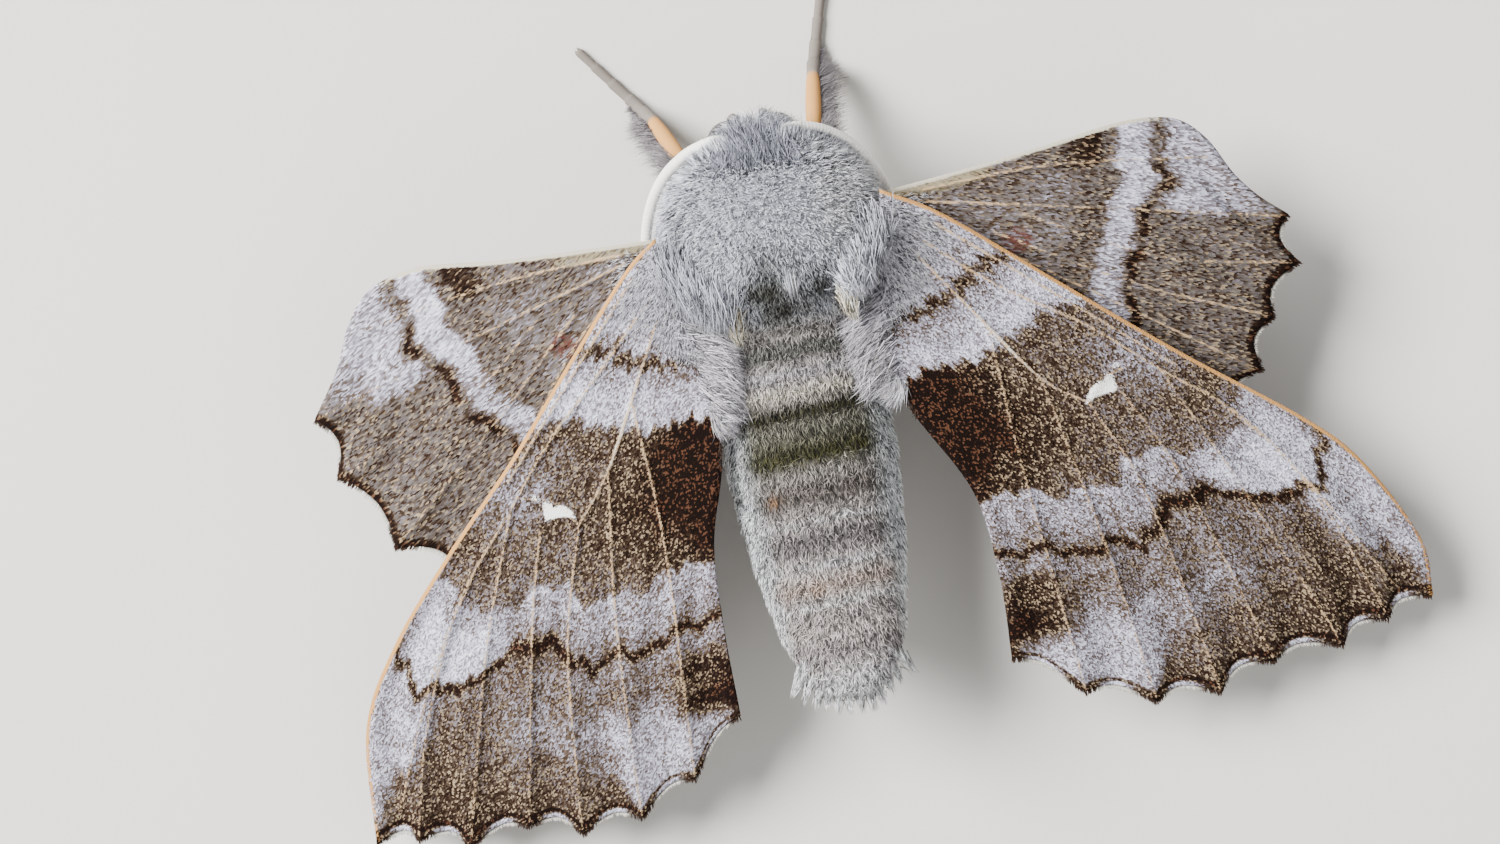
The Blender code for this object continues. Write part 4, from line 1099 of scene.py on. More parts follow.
# %% [markdown]
# Longer hair grows in locks. Each lock is written as its root and its tip, and fine hairs fill it. Over
# the roots of the wings lie the shoulder covers: two curves, one of roots and one of tips, give a row
# of locks that overlap like thatch.

# %% Shoulder covers
SHOULDER_LOCKS = 22
SHOULDER_ROOTS = [(5.6, 9.8, 12.6), (5.0, 8.8, 13.1), (4.2, 8.0, 13.6), (3.5, 7.4, 13.8)]
SHOULDER_TIPS = {
    "left": [(5.9, 7.5, 11.9), (5.3, 6.1, 12.1), (4.4, 5.2, 12.4), (3.3, 4.8, 12.5)],
    "right": [(6.0, 8.1, 11.9), (5.4, 6.7, 12.1), (4.7, 5.8, 12.3), (3.9, 5.6, 12.5)],
}
# One grey hair in two tones: the right cover lighter with a painted sheen, the left darker with painted
# shade.
SHOULDER_LIT_AND_SHADED_CODES = {"left": "#A3A5AD", "right": "#BCBDC5"}


def long_hair(name, root, tip, per_lock, spread, width, arch, code, rough=0.25, run_range=(0.75, 1.1)):
    """Fine hairs that fill locks: each starts and ends near its lock's root and tip, closer at the tip."""
    which = np.repeat(np.arange(len(root)), per_lock)
    start = root[which] + spread * random.standard_normal((len(which), 3)) * (1, 1, 0.5)
    end = tip[which] + 0.7 * spread * random.standard_normal((len(which), 3)) * (1, 1, 0.4)
    run = (end - start) * random.uniform(*run_range, (len(which), 1))
    up = np.tile([0.0, 0.0, 1.0], (len(run), 1))
    normal = unit(up - unit(run) * (up * unit(run)).sum(-1, keepdims=True))
    spot = np.column_stack([0.5 + start[:, 0] / 40, 0.5 + start[:, 1] / 50])
    lock_shade = 1 + 0.2 * random.standard_normal((len(root), 1))[which]
    tone = speckled(jitter(np.tile(rgb(code), (len(which), 1)), rough)) * lock_shade.clip(0.5, 1.4)
    make_tufts(name, start, normal, spot, run, np.linalg.norm(run, axis=1), width, arch, tone,
               steps=LONG_STEPS, droop=1.0, painted_root_shade=0.72)


for side_name, side in SIDES:
    cover_root = curve(SHOULDER_ROOTS, SHOULDER_LOCKS) * (side, 1, 1)
    cover_tip = curve(SHOULDER_TIPS[side_name], SHOULDER_LOCKS) * (side, 1, 1)
    long_hair("hair_shoulder_" + side_name, cover_root, cover_tip, per_lock=100, spread=0.55, width=0.042,
              arch=0.42, code=SHOULDER_LIT_AND_SHADED_CODES[side_name])

# %% [markdown]
# Two cream folds lie beside the dark hollows of the back, and between the hollows a crest narrows to a
# point.

# %% Folds and crest
FOLD_ROOTS = np.array([(-2.7, 6.4, 13.0), (-2.85, 6.0, 12.8), (-2.95, 5.5, 12.6), (3.1, 7.1, 13.2),
                       (3.25, 6.7, 13.1), (3.35, 6.2, 12.9), (3.45, 5.7, 12.7)])
FOLD_TIPS = np.array([(-2.9, 5.2, 12.5), (-2.9, 4.7, 12.3), (-2.85, 4.2, 12.1), (3.25, 5.9, 12.9),
                      (3.35, 5.4, 12.7), (3.5, 4.9, 12.5), (3.65, 4.4, 12.2)])
long_hair("hair_folds", FOLD_ROOTS, FOLD_TIPS, per_lock=150, spread=0.24, width=0.045, arch=0.35,
          code="#D8CDB6", rough=0.3)

CREST_LOCKS = 9
across = np.linspace(-1, 1, CREST_LOCKS)
crest_root = np.column_stack([0.35 + 1.3 * across, np.full(CREST_LOCKS, 8.4), 14.2 - 0.2 * np.abs(across)])
crest_tip = np.column_stack([0.55 + 0.6 * across, 6.1 + 1.4 * np.abs(across), 13.95 - 0.2 * np.abs(across)])
long_hair("hair_back", crest_root, crest_tip, per_lock=150, spread=0.2, width=0.05, arch=0.40,
          code="#C4C6CE", rough=0.45)

# %% [markdown]
# The crown of the head and the end of the tail each carry a brush. Its outline is the line of the
# lowest tips, and each tier above is drawn in, as the bristles of a worn brush are. Shorter hair in
# three tiers closes the parting behind the crown.

# %% Crown and tail
CROWN = [(-2.4, 14.8, 11.1), (-2.5, 15.4, 10.8), (-2.2, 16.0, 10.6), (-1.75, 16.45, 10.5),
         (-1.2, 16.8, 10.5), (-0.6, 16.95, 10.5), (0.0, 16.75, 10.5), (0.6, 16.7, 10.5), (1.2, 16.7, 10.5),
         (1.75, 16.4, 10.5), (2.2, 15.9, 10.6), (2.4, 15.3, 10.8)]
TAIL = [(-3.2, -14.9, 8.4), (-3.55, -15.6, 8.5), (-3.0, -16.1, 8.6), (-2.4, -16.5, 8.8), (-1.8, -16.65, 8.8),
        (-1.2, -16.9, 8.8), (-0.5, -17.05, 8.8), (0.2, -17.1, 8.8), (0.9, -17.15, 8.8), (1.5, -16.9, 8.8),
        (2.1, -16.35, 8.8), (2.7, -15.9, 8.6), (3.5, -15.5, 8.5), (3.0, -14.8, 8.4)]
PARTING_LOCKS = 18
PARTING_TIERS = 3


def brush(name, outline, tiers, step, flat_run, upright_run, per_lock, code):
    """Short hair in tiers: tier n's tips are the outline moved n steps and drawn in towards the middle."""
    tier = np.repeat(np.arange(tiers), len(outline))[:, None]
    turn = tier / tiers
    tip = np.tile(outline, (tiers, 1)) + tier * np.array(step)
    tip[:, 0] *= 1 - 0.6 * turn[:, 0] ** 1.3
    root = tip * (0.85, 1, 1) + mix(np.array(flat_run), np.array(upright_run), turn)
    long_hair(name, root, tip, per_lock, spread=0.16, width=0.05, arch=0.35, code=code, rough=0.3,
              run_range=(0.94, 1.02))


brush("hair_crown", CROWN, tiers=7, step=(0.0, -0.32, 0.27), flat_run=(0.0, -1.0, -0.3),
      upright_run=(0.0, -0.25, -0.75), per_lock=42, code="#767880")
across = np.tile(np.linspace(-1, 1, PARTING_LOCKS), PARTING_TIERS)
tier = np.repeat(np.arange(PARTING_TIERS), PARTING_LOCKS)
parting_root = np.column_stack([2.1 * across, 13.7 + 0.75 * tier - 0.3 * across**2,
                                12.75 - 0.3 * tier - 0.35 * across**2])
parting_tip = np.column_stack([(2.2 + 0.2 * tier) * across, 14.9 + 0.7 * tier - 0.5 * across**2,
                               12.85 - 0.3 * tier - 0.3 * across**2])
long_hair("hair_crown_over", parting_root, parting_tip, per_lock=44, spread=0.34, width=0.045, arch=0.3,
          code="#8A8C96", rough=0.3)
brush("hair_tail", TAIL, tiers=6, step=(0.0, 0.36, 0.22), flat_run=(0.0, 1.0, -0.2),
      upright_run=(0.0, 0.5, -0.6), per_lock=40, code="#CFCFD0")

# %% [markdown]
# Hair also covers the roots of the wings and runs down the inner edge. It takes its colour from the
# wing under it, pale or brown, so that the markings go on through it.

# %% Hair on the wings
# The forewings' hair is one grey in two tones: lighter on the right with a painted sheen, darker on the left
# with painted shade.
WING_HAIR = {"forewing_right": (7600, "#DEDCE4"), "forewing_left": (7600, "#C2C0C8"),
             "hindwing_right": (1500, "#D2D0D8"), "hindwing_left": (1500, "#D2D0D8")}
HAIR_BROWN = "#4A372C"


def wing_surface(name):
    """The wing's upper face as a grid in body places, with its s, k, share of brown and edge distance."""
    plan, s, k, middle, share, edge_mm = wing_maps[name]
    grid = np.dstack([plan[..., 0] * WINGS[name]["side"], plan[..., 1], middle + THICK_MM / 2])
    return grid, s, k, share, edge_mm


def wing_hair(name, count, code):
    """Soft hair on a wing's root and inner edge, thinning outwards."""
    grid, s, k, share, edge_mm = wing_surface(name)
    near, across = s[:-1, :-1], k[:-1, :-1] / k.max()
    weight = (1 - ramp(near, 0.05, 0.17)) + 0.8 * ramp(across, 0.86, 0.98) * (1 - ramp(near, 0.2, 0.40))
    place, normal, spot = sow(grid, count, weight * ramp(edge_mm[:-1, :-1], 0.35, 0.8))
    normal *= np.sign(normal[:, 2:])
    row = (spot[:, 1] * (grid.shape[0] - 1)).astype(int)
    column = (spot[:, 0] * (grid.shape[1] - 1)).astype(int)
    lie = unit(grid[np.minimum(row + 3, grid.shape[0] - 1), column] - grid[row, column])
    lie = lie + 0.4 * random.standard_normal(lie.shape)
    dark = share[row, column][:, None]
    brown = (dark + 0.16 * random.standard_normal(dark.shape) > 0.62).astype(float)
    fade = 1 - ramp(s[row, column], 0.02, 0.16)
    length = 0.32 + 0.75 * fade * random.random(count)
    tone = speckled(jitter(mix(rgb(code), rgb(HAIR_BROWN), brown), 0.2))
    make_tufts("hair_" + name, place, normal, spot, lie, length, width=0.052, lift=0.30 + 0.75 * fade,
               tone=tone)


print("hairs on each wing:", {name: count for name, (count, code) in WING_HAIR.items()})

# %% [markdown]
# The margins carry a short fringe of long scales, dark at the vein tips and white in the notches.

# %% Fringe of the margins
FRINGE_PER_MM = 34
FRINGE_DARK = "#3A271C"
FRINGE_WHITE = "#E4DED2"


def wing_fringe(name):
    """Short scales that stand out from the scalloped margin."""
    grid, _, k, *_ = wing_surface(name)
    edge, before = grid[-1], grid[-4]
    run = np.linalg.norm(np.diff(edge, axis=0), axis=1)
    travelled = np.r_[0, np.cumsum(run)]
    count = int(run.sum() * FRINGE_PER_MM)
    at_mm = np.sort(random.uniform(0, run.sum(), count))
    place, lie = (np.column_stack([np.interp(at_mm, travelled, column) for column in line.T])
                  for line in (edge, edge - before))
    place[:, 2] -= THICK_MM / 2
    k_at = np.interp(at_mm, travelled, k[-1])
    notch = ramp(1 - np.cos(2 * math.pi * k_at), 0.5, 1.5)[:, None]
    normal = np.tile([0.0, 0.0, 1.0], (count, 1))
    spot = np.column_stack([k_at / k.max(), np.ones(count)])
    lie = unit(lie) + 0.15 * random.standard_normal(lie.shape)
    length = random.uniform(0.20, 0.36, count)
    tone = jitter(mix(rgb(FRINGE_DARK), rgb(FRINGE_WHITE), notch), 0.12)
    make_tufts("fringe_" + name, place, normal, spot, lie, length, width=0.08, lift=0.05, tone=tone)


for wing_name, (hairs, hair_code) in WING_HAIR.items():
    wing_hair(wing_name, hairs, hair_code)
    wing_fringe(wing_name)

# %% [markdown]
# At the rear of the forewing's root the hair turns in towards the abdomen, part of it cream. Longer
# hair bridges from the wing's inner edge to the body's side in two tiers, so that no gap shows.

# %% Hair between wings and body
INNER_HAIRS = 2600
INNER_REACH = 0.26
INNER_COLUMNS = 14
INNER_GREY = "#C0BEC6"
INNER_CREAM = "#C6BEAE"
BRIDGE_REACH = 0.24
BRIDGE_LOCKS = 26
BRIDGE_REAR = 1.0
BRIDGE_FRONT = 8.5
# At these y the bridge's tips lie this far out and this high on the body.
BRIDGE_Y = (1, 5, 8)
BRIDGE_OUT = (3.35, 2.85, 3.5)
BRIDGE_HIGH = (10.5, 11.2, 12.2)


def inner_hair(name, side):
    """Hair at the rear of the forewing's root, which lies back and in towards the abdomen."""
    grid = wing_surface(name)[0]
    count = INNER_HAIRS
    place, normal, spot = sow(grid[: int(INNER_REACH * len(grid)), -INNER_COLUMNS:], count)
    normal *= np.sign(normal[:, 2:])
    inwards = random.uniform(0.5, 1.3, (count, 1))
    lie = inwards * (-side, 0.0, -0.2) + (0.0, -0.9, 0.0) + 0.3 * random.standard_normal((count, 3))
    cream = ramp(random.random(count), 0.6, 1.0)[:, None]
    length = random.uniform(0.7, 1.6, count)
    tone = speckled(jitter(mix(rgb(INNER_GREY), rgb(INNER_CREAM), cream), 0.2))
    make_tufts("inner_hair_" + name, place, normal, spot * (0.1, 0.2), lie, length, width=0.05, lift=0.35,
               tone=tone, steps=LONG_STEPS)


def bridge_hair(name, side):
    """Two overlapping tiers of locks from the wing's inner edge back and in to the body's side."""
    grid = wing_surface(name)[0]
    edge = grid[: int(BRIDGE_REACH * len(grid)), -1]
    edge = edge[(edge[:, 1] > BRIDGE_REAR) & (edge[:, 1] < BRIDGE_FRONT)]
    edge = edge[:: max(1, len(edge) // BRIDGE_LOCKS)]
    root = edge + (0.35 * side, 0.6, 0.05)
    out, high = (np.interp(edge[:, 1], BRIDGE_Y, value) for value in (BRIDGE_OUT, BRIDGE_HIGH))
    tip = np.column_stack([out * side, edge[:, 1] - 1.1, high])
    run = tip - root
    long_hair("hair_bridge_" + name.split("_")[1], np.vstack([root, root + 0.42 * run]),
              np.vstack([root + 0.6 * run, tip]), per_lock=33, spread=0.36, width=0.042, arch=0.14,
              code="#BDB9BE", rough=0.3)


for side_name, side in SIDES[::-1]:
    inner_hair("forewing_" + side_name, side)
    bridge_hair("forewing_" + side_name, side)

# %% [markdown]
# Feelers, legs, eyes and palps are round bars along a path, fat or thin as their radii say. The bar's
# frame turns as little as possible: each ring's side direction is the last one's, made square to the
# new heading. That is the one loop over rings, because each ring needs the one before it.

# %% Round bars
def bar(path, radii, sides):
    """Rings of a bar as a grid: around every point of the path, a circle square to the path."""
    ahead = unit(np.gradient(path, axis=0))
    side = np.zeros_like(ahead)
    side[0] = np.cross(ahead[0], [0.0, 0.0, 1.0])
    for index in range(1, len(path)):
        side[index] = side[index - 1] - ahead[index] * (side[index - 1] @ ahead[index])
    side = unit(side)
    up = np.cross(side, ahead)
    angle = np.linspace(0, 2 * math.pi, sides + 1)[None, :, None]
    circle = np.cos(angle) * side[:, None] + np.sin(angle) * up[:, None]
    return path[:, None] + radii[:, None, None] * circle


def bar_mesh(name, grid, finish, **attributes):
    """A closed mesh from a bar's grid, its ends drawn in to their centres."""
    rings = grid[:, :-1]
    first, last = (np.broadcast_to(ring.mean(0), ring.shape)[None] for ring in (rings[0], rings[-1]))
    rings = np.concatenate([first, rings, last])
    faces = grid_faces(*rings.shape[:2], closed=True)
    return make_mesh(name, rings.reshape(-1, 3), faces, finish, **attributes)


def plain_tone(tone, count):
    """One colour for every point of a mesh, with its alpha."""
    return np.tile([*tone, 1.0], (count, 1))


straight = np.outer(np.arange(3.0), (0, 1, 0))
print("the first ring of a straight bar:", bar(straight, np.ones(3), 4)[0].round(1).tolist())

# %% [markdown]
# The feelers are chalk-white and matt, because scales cover them in narrow rings. They lie back round
# the shoulders, and each joint is a little wider at its far end.

# %% Feelers
FEELER = [(1.35, 15.35, 11.8), (2.05, 15.55, 12.0), (2.9, 15.45, 11.6), (3.95, 15.1, 10.9),
          (5.15, 14.3, 10.0), (6.1, 13.1, 9.1), (6.75, 11.6, 8.2), (7.1, 9.8, 7.5), (7.2, 8.0, 7.0),
          (7.1, 6.4, 6.7)]
FEELER_RADII = [0.27, 0.3, 0.31, 0.32, 0.33, 0.32, 0.31, 0.29, 0.26, 0.14]
FEELER_JOINTS = 60
FEELER_RINGS = 360
FEELER_SIDES = 16
FEELER_GRAIN_PER_M = 6000.0
FEELER_CREAM = "#EAE5DC"
FEELER_WHITE = "#FFFEFB"


def feeler_material():
    """Chalk-white scales with a faint cream grain a sixth of a millimetre across."""
    made, tree, shader = new_material("antenna_scales", 0.75)
    place = node(tree, "TexCoord").outputs["Object"]
    grain = node(tree, "TexNoise", {"Vector": place, "Scale": FEELER_GRAIN_PER_M}).outputs[0]
    shade = node(tree, "Mix", {0: grain, 6: linear(FEELER_CREAM), 7: linear(FEELER_WHITE)},
                 data_type="RGBA").outputs[2]
    tree.links.new(shade, shader.inputs["Base Color"])
    return made


FEELER_SCALES = feeler_material()


def make_feeler(name, side):
    """Along the path the radius runs through its table, times a saw-tooth of one tooth a joint."""
    t = np.linspace(0, 1, FEELER_RINGS)
    radii = np.interp(t, np.linspace(0, 1, len(FEELER_RADII)), FEELER_RADII)
    radii = radii * (0.93 + 0.07 * ((t * FEELER_JOINTS) % 1))
    grid = bar(even(FEELER, FEELER_RINGS) * (side, 1, 1), radii, FEELER_SIDES)
    made = bar_mesh(name + "_ringed", grid, FEELER_SCALES)
    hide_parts(name)


for side_name, side in SIDES:
    make_feeler("antenna_" + side_name, side)

# %% [markdown]
# Fur from the head lies over the inner side of each feeler. On the left it stops soon, and on the right
# it goes on over the shoulder.

# %% Hair over the feelers
FEELER_COVER = {"left": (4, 16), "right": (6, 32)}


def feeler_hair(side_name, side):
    """Locks from inside the feeler out over it, furthest near the head: stations along it, then locks."""
    stations, locks = FEELER_COVER[side_name]
    feeler = even(FEELER[:stations], locks)
    inwards = unit((0.0, 10.0, 0.0) - feeler * (1, 1, 0))
    short_of = 0.05 - 0.42 * (1 - ramp(feeler[:, :1], 1.5, 3.2))
    root = feeler + 0.95 * inwards + (0, 0, 0.25)
    tip = feeler + short_of * inwards + (0, 0, 0.42)
    long_hair("hair_feeler_" + side_name, root * (side, 1, 1), tip * (side, 1, 1), per_lock=52, spread=0.12,
              width=0.05, arch=0.3, code="#BFC1C9", rough=0.3)


for side_name, side in SIDES:
    feeler_hair(side_name, side)

# %% [markdown]
# The eyes are large and dark, with thousands of lenses. A clear coat gives them a soft highlight, and a
# fine cell pattern the grain of the lenses. The sphere is a bar whose radius is a cosine.

# %% Eyes
EYE_RADIUS = 1.2
EYE_CENTRE = (1.35, EYE_CENTRE_Y, 8.1)
EYE_RINGS = 49
EYE_SIDES = 64
LENSES_PER_M = 14000.0
LENS_RELIEF_MM = 0.02
LENS_BROWN = "#33251E"
LENS_BLACK = "#0E0908"


def eye_material():
    """Dark lens facets, drawn about 0.07 mm wide, under a clear coat."""
    made, tree, shader = new_material("eye_facets", 0.4, Specular_IOR_Level=0.3, Coat_Weight=0.3,
                                      Coat_Roughness=0.12)
    place = node(tree, "TexCoord").outputs["Object"]
    cells = node(tree, "TexVoronoi", {"Vector": place, "Scale": LENSES_PER_M, "Randomness": 0.3})
    far = cells.outputs["Distance"]
    shade = node(tree, "Mix", {0: far, 6: linear(LENS_BROWN), 7: linear(LENS_BLACK)},
                 data_type="RGBA").outputs[2]
    tree.links.new(shade, shader.inputs["Base Color"])
    relief = node(tree, "Bump", {"Height": far, "Strength": 0.5, "Distance": LENS_RELIEF_MM * MM},
                  invert=True)
    tree.links.new(relief.outputs[0], shader.inputs["Normal"])
    return made


EYE_FACETS = eye_material()


def make_eye(name, side):
    """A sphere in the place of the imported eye."""
    turn = np.linspace(-math.pi / 2, math.pi / 2, EYE_RINGS)
    path = np.array(EYE_CENTRE) * (side, 1, 1) + np.outer(np.sin(turn), (EYE_RADIUS * side, 0, 0))
    made = bar_mesh(name + "_facets", bar(path, EYE_RADIUS * np.cos(turn), EYE_SIDES), EYE_FACETS)
    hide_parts(name)


print("an eye is", 2 * EYE_RADIUS, "mm across")

# %% [markdown]
# Two short furred palps curve down in front of the face. They are bars too, with a coat of hair. Eyes
# and palps are made together, one side after the other.

# %% Palps and eyes
PALP = [(0.75, 16.65, 7.3), (0.85, 16.9, 6.7), (0.9, 16.8, 5.95)]
PALP_RADII = (0.28, 0.30, 0.18)
PALP_RINGS = 24
PALP_SIDES = 20
PALP_HAIRS = 700
PALP_CODE = "#8F8580"


def make_palp(name, side):
    """A short bar with its coat, whose hair hangs down along it."""
    path = even(PALP, PALP_RINGS) * (side, 1, 1)
    radii = np.interp(np.linspace(0, 1, PALP_RINGS), (0, 0.5, 1), PALP_RADII)
    grid = bar(path, radii, PALP_SIDES)
    # The palp's core is darkened with the same painted shade as the skin.
    tone = plain_tone(SKIN_PAINTED_SHADE * rgb(PALP_CODE), (PALP_RINGS + 2) * PALP_SIDES)
    made = bar_mesh(name + "_core", grid, FUR, tone=tone)
    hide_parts(name)
    place, normal, spot = sow(grid, PALP_HAIRS)
    normal *= np.sign(((place - path.mean(0)) * normal).sum(1, keepdims=True))
    lie = (0.0, 0.2, -1.0) + 0.2 * random.standard_normal(place.shape)
    tone = jitter(np.tile(rgb(PALP_CODE), (PALP_HAIRS, 1)), 0.2)
    make_tufts("coat_" + name, place, normal, spot, lie, length=0.32, width=0.06, lift=0.5, tone=tone)


for side_name, side in SIDES:
    make_eye("eye_" + side_name, side)
    make_palp("palp_" + side_name, side)

# %% [markdown]
# Each leg is one bar from the hip to the claws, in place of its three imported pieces. The hip lies a
# little inside the thorax, on the same superellipse. The foot has five joints, each wider at its end.

# %% Places of the legs
# For each hip's y, the half width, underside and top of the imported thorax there.
THORAX_ROWS = {12.4: (5.6, 4.6, 14.1), 10.4: (6.2, 4.0, 15.0), 7.6: (6.1, 3.92, 15.0)}
# The hip's y and its angle on the thorax, then the knee, the ankle and two places of the foot.
LEG_PLACES = {
    "foreleg_left": (12.4, -58, (4.0, 15.0, 4.6), (5.35, 18.0, 1.9),
                     [(6.3, 19.4, 0.36), (8.9, 22.9, 0.22)]),
    "foreleg_right": (12.4, -58, (3.5, 15.2, 4.6), (4.15, 18.9, 1.9),
                      [(4.6, 20.5, 0.36), (5.9, 24.9, 0.22)]),
    "midleg": (10.4, -52, (8.4, 10.6, 5.0), (12.0, 9.6, 1.6), [(13.2, 9.3, 0.34), (16.6, 8.6, 0.22)]),
    "hindleg": (7.6, -52, (7.6, 4.6, 5.0), (10.0, -1.2, 1.6), [(10.5, -2.3, 0.34), (12.2, -5.8, 0.22)]),
}
THIGH_RINGS = 30
SHIN_RINGS = 30
FOOT_RINGS = 60
FOOT_JOINTS = 5
ANKLE = THIGH_RINGS + SHIN_RINGS
THIGH_RADII = (0.5, 0.56, 0.36)
SHIN_RADIUS = 0.34
SHIN_SWELL = 0.12
FOOT_RADII = {"foreleg": (0.42, 0.24), "midleg": (0.29, 0.18), "hindleg": (0.29, 0.18)}
HIP_DEPTH = 0.8
THIGH_BOW = 2.6


def hip_place(hip_y, degrees):
    """A place on the thorax's superellipse, drawn in, and the direction straight out from it."""
    half, low, high = THORAX_ROWS[hip_y]
    turn = math.radians(degrees)
    out, down = math.cos(turn), abs(math.sin(turn))
    height = (low + high) / 2 - HIP_DEPTH * (high - low) / 2 * down ** (2 / BODY_POWER)
    return np.array([half * HIP_DEPTH * out ** (2 / BODY_POWER), hip_y, height]), np.array([out, 0, -down])


def leg_path(pair, side, hip_y, degrees, knee, ankle, foot):
    """Places along a leg and its radii: a bowed thigh, a spindle shin and a jointed foot."""
    hip, outward = hip_place(hip_y, degrees)
    bow = hip + THIGH_BOW * outward
    t = np.linspace(0, 1, THIGH_RINGS)[:, None]
    thigh = hip * (1 - t) ** 2 + 2 * t * (1 - t) * bow + t**2 * np.array(knee)
    places = np.vstack([thigh, even([knee, ankle], SHIN_RINGS), even([ankle, *foot], FOOT_RINGS)])
    joint = np.linspace(0, FOOT_JOINTS, FOOT_RINGS) % 1
    radii = np.r_[np.interp(t[:, 0], (0, 0.5, 1), THIGH_RADII),
                  SHIN_RADIUS + SHIN_SWELL * np.sin(math.pi * np.linspace(0, 1, SHIN_RINGS)) ** 0.7,
                  np.interp(np.linspace(0, 1, FOOT_RINGS), (0, 1), FOOT_RADII[pair]) * (0.86 + 0.2 * joint)]
    return places * (side, 1, 1), radii


print("a fore hip is at", hip_place(*LEG_PLACES["foreleg_left"][:2])[0].round(2))

# %% [markdown]
# Thighs are grey-brown and feet a paler grey, and the shin of a foreleg is a bare orange-buff. The
# colour goes by the number of the ring, so bar and hairs share it.

# %% Dress the legs
THIGH_GREY = "#8D847F"
SHIN_CODES = {"foreleg": "#D59C5A", "midleg": "#9C8B78", "hindleg": "#9C8B78"}
FOOT_GREY = "#857C74"
LEG_SIDES = 16
LEG_HAIRS = 1500
FRINGE_HAIRS = 1600
FRINGE_MM = 2.1
FRINGE_GREY = "#979193"
FRINGE_STEPS = (0.0, 0.4, 0.75)
FRINGE_END = ANKLE + 20


def leg_tone(ring, pair):
    """Thigh, shin and foot colours by ring number, with soft borders at knee and ankle."""
    shin = ramp(ring, THIGH_RINGS - 2, THIGH_RINGS + 2) * (1 - ramp(ring, ANKLE - 3, ANKLE + 1))
    colour = mix(rgb(THIGH_GREY), rgb(SHIN_CODES[pair]), shin[:, None])
    return mix(colour, rgb(FOOT_GREY), ramp(ring, ANKLE - 1, ANKLE + 3)[:, None])


def leg_fringe(name, side, path, ahead):
    """Long grey hair along the outer side of the shin and the start of the foot."""
    row = random.integers(THIGH_RINGS - 6, FRINGE_END, FRINGE_HAIRS)
    outward = unit(np.cross(ahead[row], [0.0, 0.0, 1.0]) * side)
    place = path[row] + 0.2 * outward + 0.1 * random.standard_normal((FRINGE_HAIRS, 3))
    normal = np.cross(outward, ahead[row]) * side
    normal *= np.sign(normal[:, 2:])
    taper = 1 - 0.75 * ramp(row.astype(float), ANKLE - 8, FRINGE_END)
    lie = outward + 0.65 * ahead[row] + 0.3 * random.standard_normal((FRINGE_HAIRS, 3))
    spot = np.column_stack([np.full(FRINGE_HAIRS, 0.5), row / len(path)])
    tone = jitter(np.tile(rgb(FRINGE_GREY), (FRINGE_HAIRS, 1)), 0.25)
    length = FRINGE_MM * taper * random.uniform(0.5, 1.0, FRINGE_HAIRS)
    make_tufts("fringe_" + name, place, normal, spot, lie, length, width=0.045, lift=0.1, tone=tone,
               steps=FRINGE_STEPS)


def make_leg(pair, side_name, side):
    """The bar, its short coat, and on a foreleg its fringe."""
    name = pair + "_" + side_name
    path, radii = leg_path(pair, side, *LEG_PLACES.get(name, LEG_PLACES.get(pair)))
    grid = bar(path, radii, LEG_SIDES)
    grid[..., 2] = np.maximum(grid[..., 2], 0.0)
    rings = np.r_[0, np.arange(len(path)), len(path) - 1].repeat(LEG_SIDES).astype(float)
    # The bar is a little darker than its coat, painted shade under the hair as on the skin.
    tone = np.column_stack([0.85 * leg_tone(rings, pair), np.ones(len(rings))])
    made = bar_mesh(name + "_bar", grid, FUR, tone=tone)
    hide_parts(name + "_femur", name + "_tibia", name + "_tarsus")
    place, _, spot = sow(grid, LEG_HAIRS)
    row = (spot[:, 1] * (len(path) - 1)).astype(int)
    ahead = unit(np.gradient(path, axis=0))
    thigh = 1 - ramp(row.astype(float), THIGH_RINGS - 6, THIGH_RINGS)
    tone = jitter(leg_tone(row.astype(float), pair), 0.28)
    lie = ahead[row] + 0.15 * random.standard_normal(place.shape)
    make_tufts("coat_" + name, place, unit(place - path[row]), spot, lie, length=0.30 + 0.4 * thigh,
               width=0.06, lift=0.32 + 0.25 * thigh, tone=tone)
    if pair == "foreleg":
        leg_fringe(name, side, path, ahead)


for leg_pair in FOOT_RADII:
    for side_name, side in SIDES:
        make_leg(leg_pair, side_name, side)

# %% [markdown]
# The moth stands on a plain pale floor of matt card, wide enough to fill every view.

# %% Floor
FLOOR_SIZE = 3.0
CARD = "#D9D6CF"
PALE_FLOOR = new_material("pale_floor", 0.9, Base_Color=linear(CARD))[0]


def make_floor():
    """A wide flat square under the feet."""
    half = FLOOR_SIZE / 2
    corners = [(-half, -half, 0), (half, -half, 0), (half, half, 0), (-half, half, 0)]
    mesh = bpy.data.meshes.new("floor")
    mesh.from_pydata(corners, [], [(0, 1, 2, 3)])
    mesh.materials.append(PALE_FLOOR)
    floor = bpy.data.objects.new("floor", mesh)
    bpy.context.scene.collection.objects.link(floor)


make_floor()
print("floor is", FLOOR_SIZE, "m wide")

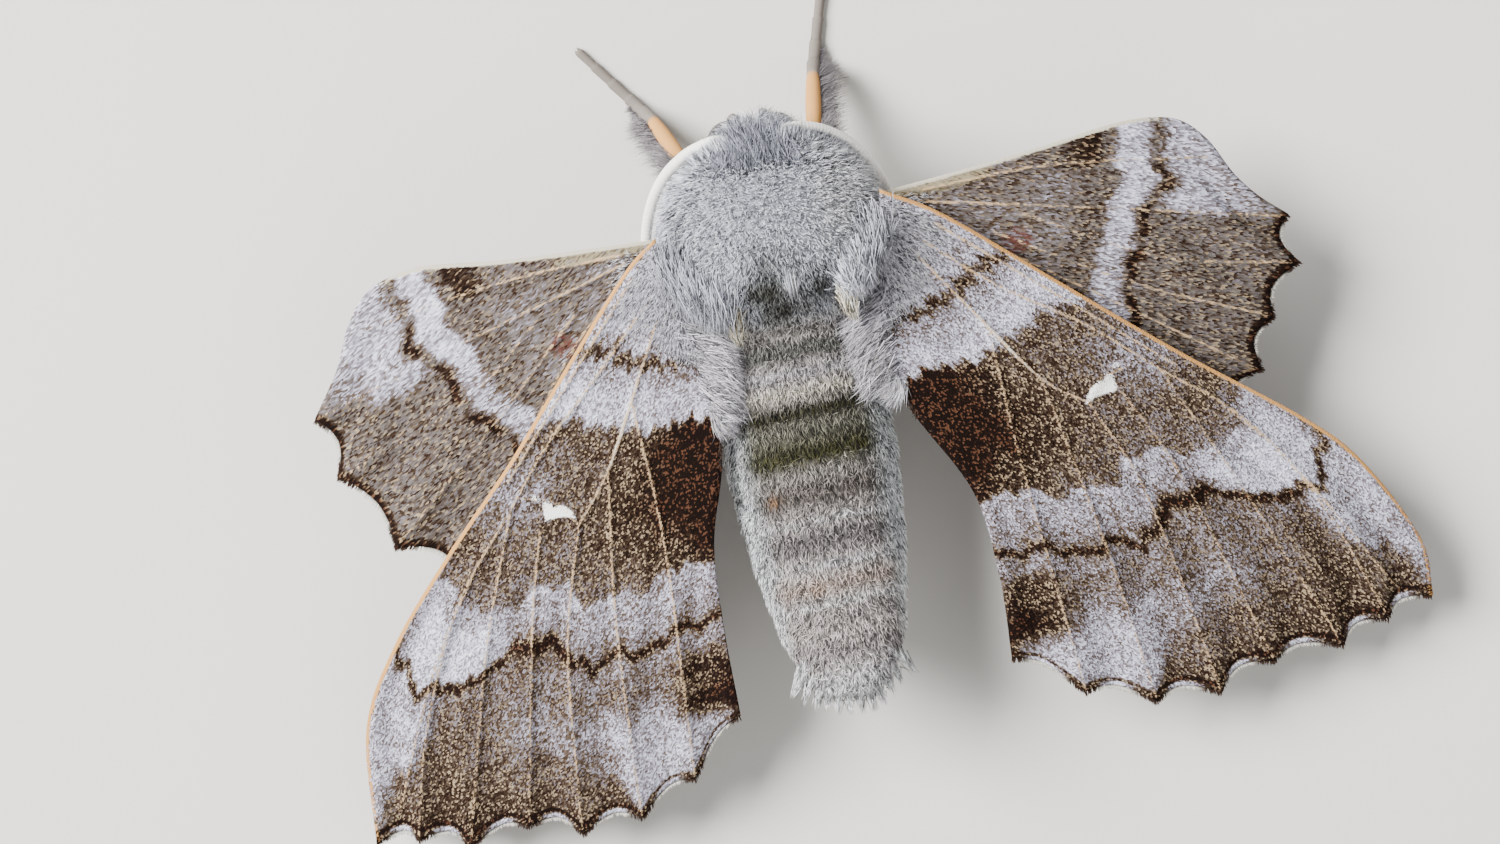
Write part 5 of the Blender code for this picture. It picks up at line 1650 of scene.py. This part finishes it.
# %% [markdown]
# One strong soft light from the front left models the fur and casts the only clear shadow. A wide weak
# one and a faint grey-white surround keep the other side open, and a third lights the rear.

# %% Lights
# Place in metres, width in metres and watts.
LIGHTS = {"key": ((-0.42, 0.24, 0.42), 0.35, 17), "fill": ((0.45, -0.15, 0.50), 0.6, 1.6),
          "back": ((0.0, -0.5, 0.35), 0.5, 1.5)}
LIGHT_TARGET = (0, 0, 0.008)
STUDIO_STRENGTH = 0.30
STUDIO_WHITE = "#E8EBF0"


def make_light(name, place, size, watts):
    """A square area light aimed at the moth."""
    data = bpy.data.lights.new(name, "AREA")
    data.size = size
    data.energy = watts
    light = bpy.data.objects.new(name, data)
    light.location = place
    light.rotation_euler = (Vector(LIGHT_TARGET) - Vector(place)).to_track_quat("-Z", "Y").to_euler()
    bpy.context.scene.collection.objects.link(light)


for light_name, light_values in LIGHTS.items():
    make_light(light_name, *light_values)
world = bpy.data.worlds.new("studio")
world.use_nodes = True
world.node_tree.nodes["Background"].inputs["Color"].default_value = linear(STUDIO_WHITE)
world.node_tree.nodes["Background"].inputs["Strength"].default_value = STUDIO_STRENGTH
bpy.context.scene.world = world
print("lights:", ", ".join(LIGHTS))

# %% [markdown]
# The camera looks straight down, as the photograph does on the moth's back, and is rolled so that the
# body leans as it does there. The moth is off the middle of the picture by a few millimetres.

# %% Camera
LENS_MM = 100
CAMERA_HEIGHT = 0.241
CAMERA_ROLL = -math.atan2(0.184, 0.983)
IMAGE_CENTRE_MM = (-3.05, 0.0)


def make_camera():
    """A camera over the picture's middle, with no shift and everything sharp."""
    data = bpy.data.cameras.new("camera")
    data.lens = LENS_MM
    data.clip_start = 0.01
    camera = bpy.data.objects.new("camera", data)
    camera.location = (*((AXIS[:2] + IMAGE_CENTRE_MM) * MM), CAMERA_HEIGHT)
    camera.rotation_euler = (0, 0, CAMERA_ROLL)
    bpy.context.scene.collection.objects.link(camera)
    bpy.context.scene.camera = camera


make_camera()
print("camera at", tuple(round(value, 4) for value in bpy.context.scene.camera.location))
